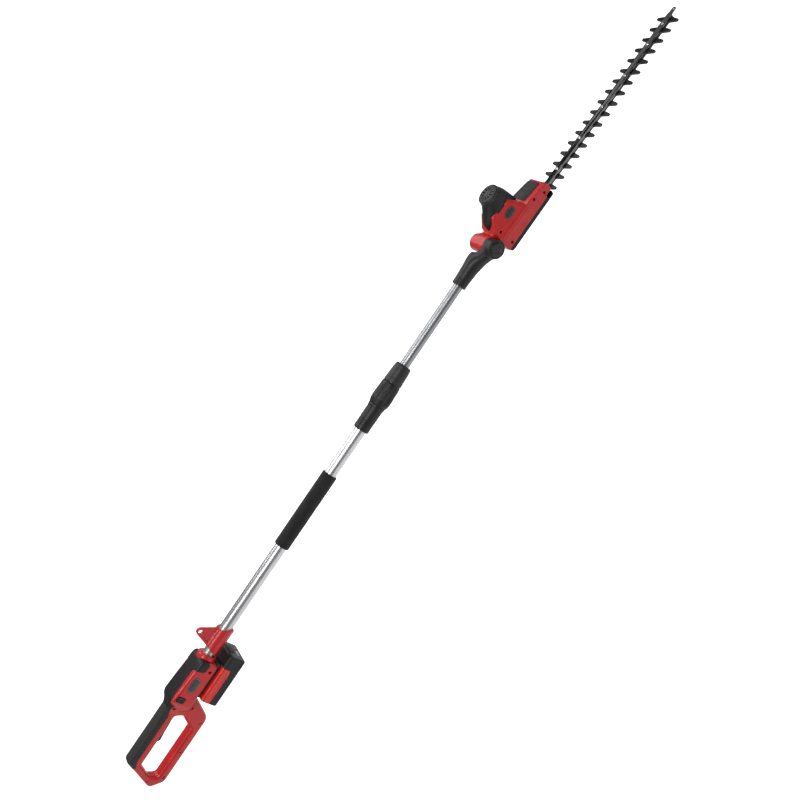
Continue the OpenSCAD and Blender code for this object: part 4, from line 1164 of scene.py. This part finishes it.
def coupling(xyz):
    """Sleeve round the upper tube, an arm to the right, and the knuckle at its end."""
    x, y, z = xyz
    pivot = (PIVOT_X, 0)
    r = radius_of(y, z)
    rings = sum(groove(x, at, 0.6, depth=0.5) for at in (921.5, 926.0, 930.5))
    sleeve = corner(r - np.interp(x, SLEEVE_X, SLEEVE_R) + rings, slab(x, 953.5, 38.5), r=1.6)
    ex, ey = ARM_END - ARM_START
    dx, dy = x - ARM_START[0], y - ARM_START[1]
    t = np.clip((dx * ex + dy * ey) / (ex * ex + ey * ey), 0, 1)
    arm = np.sqrt((dx - ex * t) ** 2 + (dy - ey * t) ** 2 + z * z) - (16.2 + 0.6 * t)
    from_pivot = radius_of(x - PIVOT_X, z)
    knuckle = corner(from_pivot - (20.4 + 0.015 * (-y - 16)), slab(y, -30.1, 13.9), r=2.2)
    shape = soft_min(soft_min(sleeve, arm, 7), knuckle, 6)
    shape = np.maximum(shape, -44.0 - y)
    ring = corner(slab(from_pivot, 18.3, 0.5), slab(y, -44, 0.9), r=0.2)
    shape = carve(shape, ring, 0.3)
    shape = carve(shape, cyl_y(xyz, (-16.3, 60), 23.6, pivot, 1.5), 1.2)   # room for the head
    shape = carve(shape, corner(r - 11.05, slab(x, 930, 32), r=0.3), 0.6)   # upper tube
    shape = carve(shape, cyl_y(xyz, (-60, 20), PIVOT_BOLT_R, pivot, 0.1))
    shape = carve(shape, cyl_y(xyz, (-19.6, -5), 16.2, pivot, 0.1))
    return carve(shape, cyl_y(xyz, (-60, -41), 15.7, pivot, 0.3), 0.5)   # end cap


piece(field_mesh("tilt_coupling", coupling, (914, -45, -22), (1041, 21, 22), step=0.9),
      "black", "upper_pole", "head_coupling")

# ------------------------------------------------------------------ cutting head, own frame
# corner points (x, half width, z) of the lower block and of the cheeks above it
BASE_PLANES = planes_of(pairs([(24, 29, -37), (173, 25, -37), (25, 29, -5), (116, 28, -5),
                               (173, 25, -13), (110, 14, 0), (171, 14, -11)]))
CHEEK_PLANES = planes_of(pairs([(26, 29, -8), (110, 28.5, -8), (31, 24.4, 15), (50, 20.2, 37),
                                (94, 20.8, 34), (105, 23, 13)]))
WEB_SIDE = rounded([(-1, 18, 2), (13, 15.8, 6), (29, 5, 2), (29, -32, 2), (12.4, -18.3, 6),
                    (-1, -18, 2)])                                # (x, z, radius)
HEAD_SCREWS = [(36, -28), (36, 8), (134, -10.5), (160, -22)]   # (x, z)


def base_skin(xyz):
    return hull_field(xyz, BASE_PLANES)


def hood_skin(xyz, grow=0.0):
    """Upright elliptic hood whose rear edge moves forward with height."""
    x, y, z = xyz
    rear = np.interp(z, [10, 30, 36, 42, 48, 54, 60, 65.5],
                     [27, 27.6, 31, 37, 43.6, 50, 55, 57.5])
    front = np.interp(z, [10, 30, 50, 60, 65.5], [117, 115.5, 113, 110, 107.5])
    centre = (rear + front) / 2
    rx = (front - rear) / 2 + grow
    ry = np.interp(z, [10, 65.5], [24.2, 24.4]) + grow
    ratio = np.sqrt(((x - centre) / rx) ** 2 + (y / ry) ** 2)
    slope = np.sqrt(((x - centre) / rx ** 2) ** 2 + (y / ry ** 2) ** 2) + 1e-6
    return ratio * (ratio - 1) / np.maximum(slope, 0.02)


def motor_hood(xyz):
    """Thin hood with a groove under its cap and a line lower down."""
    z = xyz[2]
    skin = np.clip(hood_skin(xyz), -8, 60)
    skin = skin + groove(z, 61.8, 0.5, depth=0.5) + groove(z, 40, 0.7, depth=0.35)
    shape = carve(skin, skin + 2.6, 0.3)
    shape = soft_max(shape, z - 65.3, 0.8)
    return np.maximum(shape, 13.0 - z)


def head_shell(xyz, side):
    """One half of the head's shell, with screw bosses, hinge and openings."""
    x, y, z = xyz
    skin = soft_min(base_skin(xyz), hull_field(xyz, CHEEK_PLANES), 1.6)
    shell = carve(skin, skin + 2.9)
    for at in HEAD_SCREWS:
        shell = np.minimum(shell, np.maximum(cyl_y(xyz, (-40, 40), 4.9, at), skin + 0.8))
    hinge = cyl_y(xyz, (-15.5, 38), 19.5, edge=2.4)
    web = corner(poly(x, z, WEB_SIDE), slab(y, 6.4, 21.6), r=2.0)
    shell = soft_min(shell, soft_min(hinge, web, 5), 3.0)
    # long line pressed into the flank
    shell = shell + (groove(z + 27.5 - 0.02 * x, 0, 0.8, depth=0.55) * fade(np.abs(y), 24, 3)
                     * fade(x, 34, 8) * fade(x, 166, -8))
    shell = carve(shell, np.maximum(hood_skin(xyz, 0.5), 13.2 - z), 0.8)
    if side > 0:   # release button
        shell = carve(shell, cyl_y(xyz, (15, 60), 16.25, edge=0.4), 0.7)
    else:
        for at in HEAD_SCREWS:
            shell = carve(shell, cyl_y(xyz, (-60, -11.4), 3.4, at, 0.4), 0.7)
    shell = carve(shell, cyl_y(xyz, (-60, -16.0), 21.7, edge=1.0), 0.8)   # knuckle
    shell = carve(shell, cyl_y(xyz, (-30, 60), PIVOT_BOLT_R, edge=0.1))
    shell = soft_max(shell, -34.1 - z, 0.8)
    for lo, hi in (((158, -60, -50), (300, 60, -30.2)), ((80, -26, -50), (172, 26, -30.2))):
        shell = carve(shell, box(xyz, lo, hi, 1.0), 0.6)   # blade way
    return soft_max(shell, -side * y + SPLIT_GAP, 0.6)


for side, side_name in SIDES:
    lo, hi = half_bounds(side, (-21, -41), (179, 45), 36, 39)
    piece(field_mesh("head_half_" + side_name, partial(head_shell, side=side), lo, hi,
                     step=1.05, head=True),
          "red", "cutting_head", "head_shell_" + side_name)

NOSE_PLAN = rounded([(119, -22.5, 4), (171, -17.5, 5), (171, 29, 5), (119, 32.5, 4)])


def nose_plate(xyz):
    """Cover over the front of the head with six cross grooves."""
    x, y, z = xyz
    skin = base_skin(xyz)
    grooves = sum(groove(x, at, 0.7, depth=0.45) * fade(np.abs(y), 15, -2)
                  for at in range(132, 158, 5))
    shape = np.maximum(skin - 1.5 + grooves, -(skin - 0.05))
    shape = soft_max(shape, poly(x, y, NOSE_PLAN), 1.1)
    shape = soft_max(shape, -18 - z, 0.2)
    return carve(shape, np.maximum(hood_skin(xyz, 0.6), -30 - z), 0.4)


piece(field_mesh("nose_plate", nose_plate, (117, -24, -19), (173, 34, 8), step=0.8, head=True),
      "black", "cutting_head", "nose_cover")

# (x, y, radius): the sole's outline and the inside of its tray
SOLE_OUTER = rounded([(23, -33.4, 6), (172, -29.4, 6), (177, -19, 4), (177, 19, 4),
                      (172, 29.4, 6), (23, 33.4, 6)])
SOLE_INNER = rounded([(26, -30.4, 4), (160, -27, 2), (160, 27, 2), (26, 30.4, 4)])
SOLE_FLOOR = -40.3
ECCENTRIC_X = 106.0   # axis of the eccentric that drives the blades


def sole_plate(xyz):
    """Tray under the shells; its upright edge shows as a dark band along their sides."""
    x, y, z = xyz
    outline = poly(x, y, SOLE_OUTER)
    shape = corner(outline, slab(z, -38.85, 4.5), r=1.3)
    # fine groove along the band
    shape = shape + groove(z, -39.6, 0.6, depth=0.35) * fade(outline, -4, 2)
    shape = carve(shape, np.maximum(poly(x, y, SOLE_INNER), SOLE_FLOOR - z), 0.3)
    shape = carve(shape, box(xyz, (157.6, -60, SOLE_FLOOR), (300, 60, 0), 0.3), 0.3)
    shape = carve(shape, cyl_z(xyz, (-60, 0), 9.1, (ECCENTRIC_X, 0), 0.2), 0.3)
    for at in ((40, -22), (40, 22), (150, -22), (150, 22)):
        shape = carve(shape, cyl_z(xyz, (-60, 0), 2.1, at, 0.2), 0.2)
    return shape


piece(field_mesh("sole_plate", sole_plate, (21, -35, -45), (179, 35, -33), step=0.9, head=True),
      "black", "cutting_head", "base_plate")
piece(field_mesh("motor_hood", motor_hood, (26, -26, 12), (118, 26, 66), step=0.95, head=True),
      "black", "cutting_head", "motor_cover")


def hood_cap(xyz):
    """Round cap with a dished top and twelve radial slots."""
    x, y, z = xyz
    dx = x - 82.5
    r = radius_of(dx, y)
    shape = corner(r - 24.4, slab(z, 67.5, 5.5), r=3.2)
    shape = np.maximum(shape, 65.6 - z)
    shape = carve(shape, corner(r - 21.6, z - 70.3, r=1), 0.3)
    spacing = np.pi / 6
    off = (np.arctan2(y, dx) + spacing / 2) % spacing - spacing / 2
    slots = corner(np.abs(r * np.sin(off)) - 1.15, slab(r, 13.4, 4.8), r=1.1)
    shape = carve(shape, slots, 0.4)
    return carve(shape, corner(slab(r, 20.4, 0.5), slab(z, 73, 0.7), r=0.2), 0.3)


piece(field_mesh("hood_cap", hood_cap, (57, -26, 65), (108, 26, 74), step=0.7, head=True),
      "dark", "cutting_head", "motor_cap")

label_pair("head_label_pair", "cutting_head", "head_label_plates",
           sizes=(17.0, 8.5, 8.0, 8.0, 9.0, 5.0), rim=(-1.4, -2.2), back=-1.8,
           centre=(79.0, -29.0, 18.0), lean=-13.0, head=True)

# caps at the two ends of the pivot: (distance from the middle plane, radius, corner radius)
end_cap = rounded([(41.05, 0, 0), (41.05, 15.5, 0.2), (44.6, 15.5, 1), (46.3, 13, 1),
                   (46.3, 9.2, 0.4), (45.5, 8.6, 0.3), (45.5, 0, 0)], 4)
piece(lathe("pivot_end_cap", [(-y, r) for y, r in end_cap], axis="y", head=True),
      "black_gloss", "cutting_head", "pivot_cap")
release = rounded([(24, 6.3, 0.2), (24, 15.9, 0.3), (40.5, 15.9, 1), (43.4, 13.6, 1.5),
                   (43.9, 10.6, 0.4), (43.0, 9.8, 0.3), (42.6, 0, 0), (34, 0, 0),
                   (34, 6.3, 0.2)], 4)
piece(lathe("tilt_release", release, axis="y", head=True),
      "red", "release_button", "release_button")

# ------------------------------------------------------------------ blades
PITCH, ROWS, ROW_LAST = 27.3, 17, 620.0
ROW_FIRST = ROW_LAST - (ROWS - 1) * PITCH
TOOTH_REACH, SPINE = 33.0, 10.0      # half widths at the teeth and between them
TOOTH_BASE, TOOTH_TIP = 13.5, 6.6    # a tooth's widths along the blade
THROW = 8.0
BOLT_R = 2.45
BLADE_THICK = 2.1
# every third gap between teeth, the last one a gap early
BOLTS = [ROW_FIRST + PITCH * 0.5 + PITCH * (1 + 3 * i - (1 if i > 4 else 0)) for i in range(6)]


def blade_outline():
    end = ROW_LAST + 12
    base, tip = TOOTH_BASE / 2, TOOTH_TIP / 2
    # tooth on the -y side, (dx, y, radius); half a turn gives the one on the +y side
    tooth = [(-base, -SPINE, 3.0), (-tip, -TOOTH_REACH + 1.2, 0.6), (-tip + 1.4, -TOOTH_REACH, 0.6),
             (tip - 1.4, -TOOTH_REACH, 0.6), (tip, -TOOTH_REACH + 1.2, 0.6), (base, -SPINE, 3.0)]
    rows = [ROW_FIRST + k * PITCH for k in range(ROWS)]
    root = ROW_FIRST - base - 5
    points = [(132, -14, 1), (160, -14, 4), (root, -SPINE, 4)]
    points += [(x + dx, y, r) for x in rows for dx, y, r in tooth]
    points += [(end - 4, -SPINE, 2), (end, -5, 2), (end, 5, 2), (end - 4, SPINE, 2)]
    points += [(x - dx, -y, r) for x in rows[::-1] for dx, y, r in tooth]
    points += [(root, SPINE, 4), (160, 14, 4), (132, 14, 1)]
    # yoke round the eccentric
    points += [(ECCENTRIC_X + dx, y, r) for dx, y, r in (
        (16.5, 14, 0), (16.5, 24, 3), (-16.5, 24, 3), (-16.5, -24, 3), (16.5, -24, 3),
        (16.5, -14, 0))]
    return rounded(points, 3)


def slot_loop(x, width=2.75):
    """Round-ended slot that lets a blade slide past its bolt; width is the half width."""
    half = THROW + 3.1
    angles = np.linspace(-math.pi / 2, math.pi / 2, 9)
    right = [(x + half + width * math.cos(a), width * math.sin(a)) for a in angles]
    left = [(x - half - width * math.cos(a), -width * math.sin(a)) for a in angles]
    return right + left


yoke_hole = rounded([(ECCENTRIC_X + dx, y, 1.5) for dx, y in (
    (-11.85, -19), (11.85, -19), (11.85, 19), (-11.85, 19))], 4)
for level, bottom in (("upper", -36.6), ("lower", -38.95)):
    outlines = [blade_outline(), yoke_hole] + [slot_loop(x) for x in BOLTS]
    piece(plate("cutter_" + level, outlines, bottom, bottom + BLADE_THICK, 0.55, head=True,
                steps=1, angle=24),
          "blade", level + "_blade", level + "_blade")

# ------------------------------------------------------------------ guide bar and its bolts
BAR_START, BAR_END, BAR_ROOT, BAR_TIP = 150.0, 652.0, 12, 5.6   # ends in x, and half widths
BAR_TIP_X = BAR_END - 7   # centre of the small hole near the tip


def bar_outline():
    # (x, half width, radius)
    stations = [(BAR_START, BAR_ROOT, 2), (BAR_START + 20, BAR_ROOT, 5),
                (BAR_START + 34, 8.4, 6), (BAR_END - 24, 8.4, 4), (BAR_END - 15, BAR_TIP, 3),
                (BAR_TIP_X, BAR_TIP, 0)]
    # the two edges are rounded apart, each as a closed outline of its own
    right = rounded([(x, -width, r) for x, width, r in stations], 5)
    left = rounded(stations[::-1] + [(BAR_START, -BAR_ROOT, 0)], 5)
    tip = [(BAR_TIP_X + BAR_TIP * math.cos(a), BAR_TIP * math.sin(a))
           for a in np.linspace(-math.pi / 2, math.pi / 2, 15)]
    return right[:-1] + tip + left[1:-1]


bar_holes = [circle(BAR_TIP_X, 0, 2.6, 28)] + [circle(x, 0, 2.55, 24) for x in BOLTS]
piece(plate("blade_carrier", [bar_outline()] + bar_holes, -34.1, -31.2, 0.5, head=True, steps=1,
            angle=24),
      "bar", "cutting_head", "guide_bar")


def carrier_bolts():
    """Domed heads on the bar, shanks, and hexagon nuts under the blades."""
    # (z, radius, corner radius)
    dome = rounded([(-31.15, 0, 0), (-31.15, 4.4, 0.2), (-30.6, 4.4, 0.2), (-29.2, 3.0, 0.8),
                    (-29.2, 1.3, 0), (-30.2, 1.1, 0), (-30.2, 0, 0)], 3)
    shank = [(-42.0, 0), (-42.4, 0), (-42.4, 1.9), (-42.0, BOLT_R), (-31.1, BOLT_R), (-31.1, 0)]
    parts = []
    for x in BOLTS:
        parts.append(lathe("dome", dome, axis="z", at=(x, 0, 0), seg=36, head=True))
        parts.append(lathe("shank", shank, axis="z", at=(x, 0, 0), seg=24, head=True))
        parts.append(plate("nut", [circle(x, 0, 4.6, 6), circle(x, 0, 2.5, 24)],
                           -42.6, -39.3, 0.4, head=True))
    return join("carrier_bolts", [dress(part, "steel") for part in parts])


stand_in(carrier_bolts(), "cutting_head", "bar_bolts")

# ------------------------------------------------------------------ CAD nodes that stay
KEPT_NODES = {
    "steel": ["housing_screws", "head_screws", "trigger_pin", "lug_screw", "pivot_bolt"],
    "spring": ["trigger_spring", "latch_spring", "release_spring", "detent_ring",
               "upper_bearing"],
    "gear": ["drive_gear", "motor_pinion", "motor", "gearbox_plate"],
    "bronze": ["lower_bush"],
    "board": ["control_board"],
    "cell": ["battery_cells"],
    "lens": ["gauge_lens"],
    "white": ["clamp_collet", "cooling_fan"],
    "cable": ["power_cable", "cable_lead"],
    "dark": ["trigger_switch", "battery_dock", "guide_bush"],
}
for finish, names in KEPT_NODES.items():
    for name in names:
        ob = dress(NODES[name], finish)
        smooth(ob.data)
        weld = ob.modifiers.new("weld", "WELD")
        weld.merge_threshold = 1e-5
        ob.data.update()


# ------------------------------------------------------------------ studio
def studio_floor():
    """Pale floor that glows to the camera only."""
    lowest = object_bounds()[0][2]
    bpy.ops.mesh.primitive_plane_add(size=24, location=(0.6, 0, min(lowest - 0.0015, -0.70)))
    floor = bpy.context.object
    floor.name = "floor"
    material, sh = new_material("studio_floor")
    clouds = sh.remap(sh.noise(scale=3.0, detail=4))
    camera_ray = sh.add("LightPath").outputs["Is Camera Ray"]
    sh.surface({
        "Base Color": sh.mix(clouds, (0.86, 0.86, 0.87), (0.9, 0.9, 0.9)),
        "Roughness": 0.85,
        "Specular IOR Level": 0.2,
        "Emission Color": (1, 1, 1),
        "Emission Strength": sh.math("MULTIPLY", camera_ray, 0.86),
    })
    floor.data.materials.append(material)
    floor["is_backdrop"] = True


def studio_world(strength=0.30, less_in_reflections=0.17, more_to_camera=0.8):
    """Sky white to the camera and dimmer in reflections, so that dark plastic stays dark."""
    world = bpy.context.scene.world or bpy.data.worlds.new("studio")
    bpy.context.scene.world = world
    world.use_nodes = True
    sky = Shader(world.node_tree)
    background = world.node_tree.nodes.get("Background") or sky.add("Background")
    rays = sky.add("LightPath").outputs
    dimming = sky.math("MULTIPLY", rays["Is Glossy Ray"], less_in_reflections)
    base = sky.math("SUBTRACT", strength, dimming)
    boost = sky.math("MULTIPLY", rays["Is Camera Ray"], more_to_camera)
    sky.feed((1, 1, 1), background.inputs[0])
    sky.feed(sky.math("ADD", base, boost), background.inputs[1])


def area_light(name, at, target, size, power, colour=(1, 1, 1)):
    light = bpy.data.lights.new(name, "AREA")
    light.shape = "RECTANGLE"
    light.size, light.size_y = size
    light.energy = power
    light.color = colour
    ob = link_object(name, light)
    ob.location = at
    ob.rotation_euler = (Vector(target) - Vector(at)).to_track_quat("-Z", "Y").to_euler()


studio_floor()
studio_world()
bpy.context.scene.view_settings.view_transform = "Standard"
area_light("key", at=(0.2, -1.6, 2.4), target=(0.6, 0, 0), size=(2.6, 0.55), power=44)
area_light("top", at=(1.0, 1.2, 2.6), target=(0.7, 0, 0), size=(3.0, 0.9), power=36)
area_light("fill_left", at=(-2.2, -0.6, 1.2), target=(0.2, 0, 0), size=(1.6, 1.6), power=9,
           colour=(1, 0.99, 0.97))
area_light("back", at=(1.2, 2.6, 1.3), target=(0.6, 0, 0), size=(2.6, 1.0), power=14)

# ------------------------------------------------------------------ camera
# It looks from the right side and above, rolled so that the pole runs up to the right.
ELEVATION = math.radians(33.3)
AZIMUTH = math.radians(-2.0)
ROLL = math.radians(56.8)   # the pole's climb over the horizontal of the view
DISTANCE = 2.2

back = Vector((-math.sin(AZIMUTH) * math.cos(ELEVATION),
               -math.cos(AZIMUTH) * math.cos(ELEVATION), math.sin(ELEVATION)))
along = Vector((math.cos(AZIMUTH), -math.sin(AZIMUTH), 0))
level_up = back.cross(along)
target = Vector((0.6445, 0, -0.047)) + level_up * -0.034
view_up = along * math.sin(ROLL) + level_up * math.cos(ROLL)
view_right = along * math.cos(ROLL) - level_up * math.sin(ROLL)
camera = bpy.data.cameras.new("camera")
camera.sensor_width = 36
camera.lens = 46.43
camera.clip_start = 0.05
camera_ob = link_object("camera", camera)
turned = Matrix((view_right, view_up, back)).transposed()
camera_ob.matrix_world = Matrix.Translation(target + back * DISTANCE) @ turned.to_4x4()
bpy.context.scene.camera = camera_ob

bpy.context.view_layer.update()
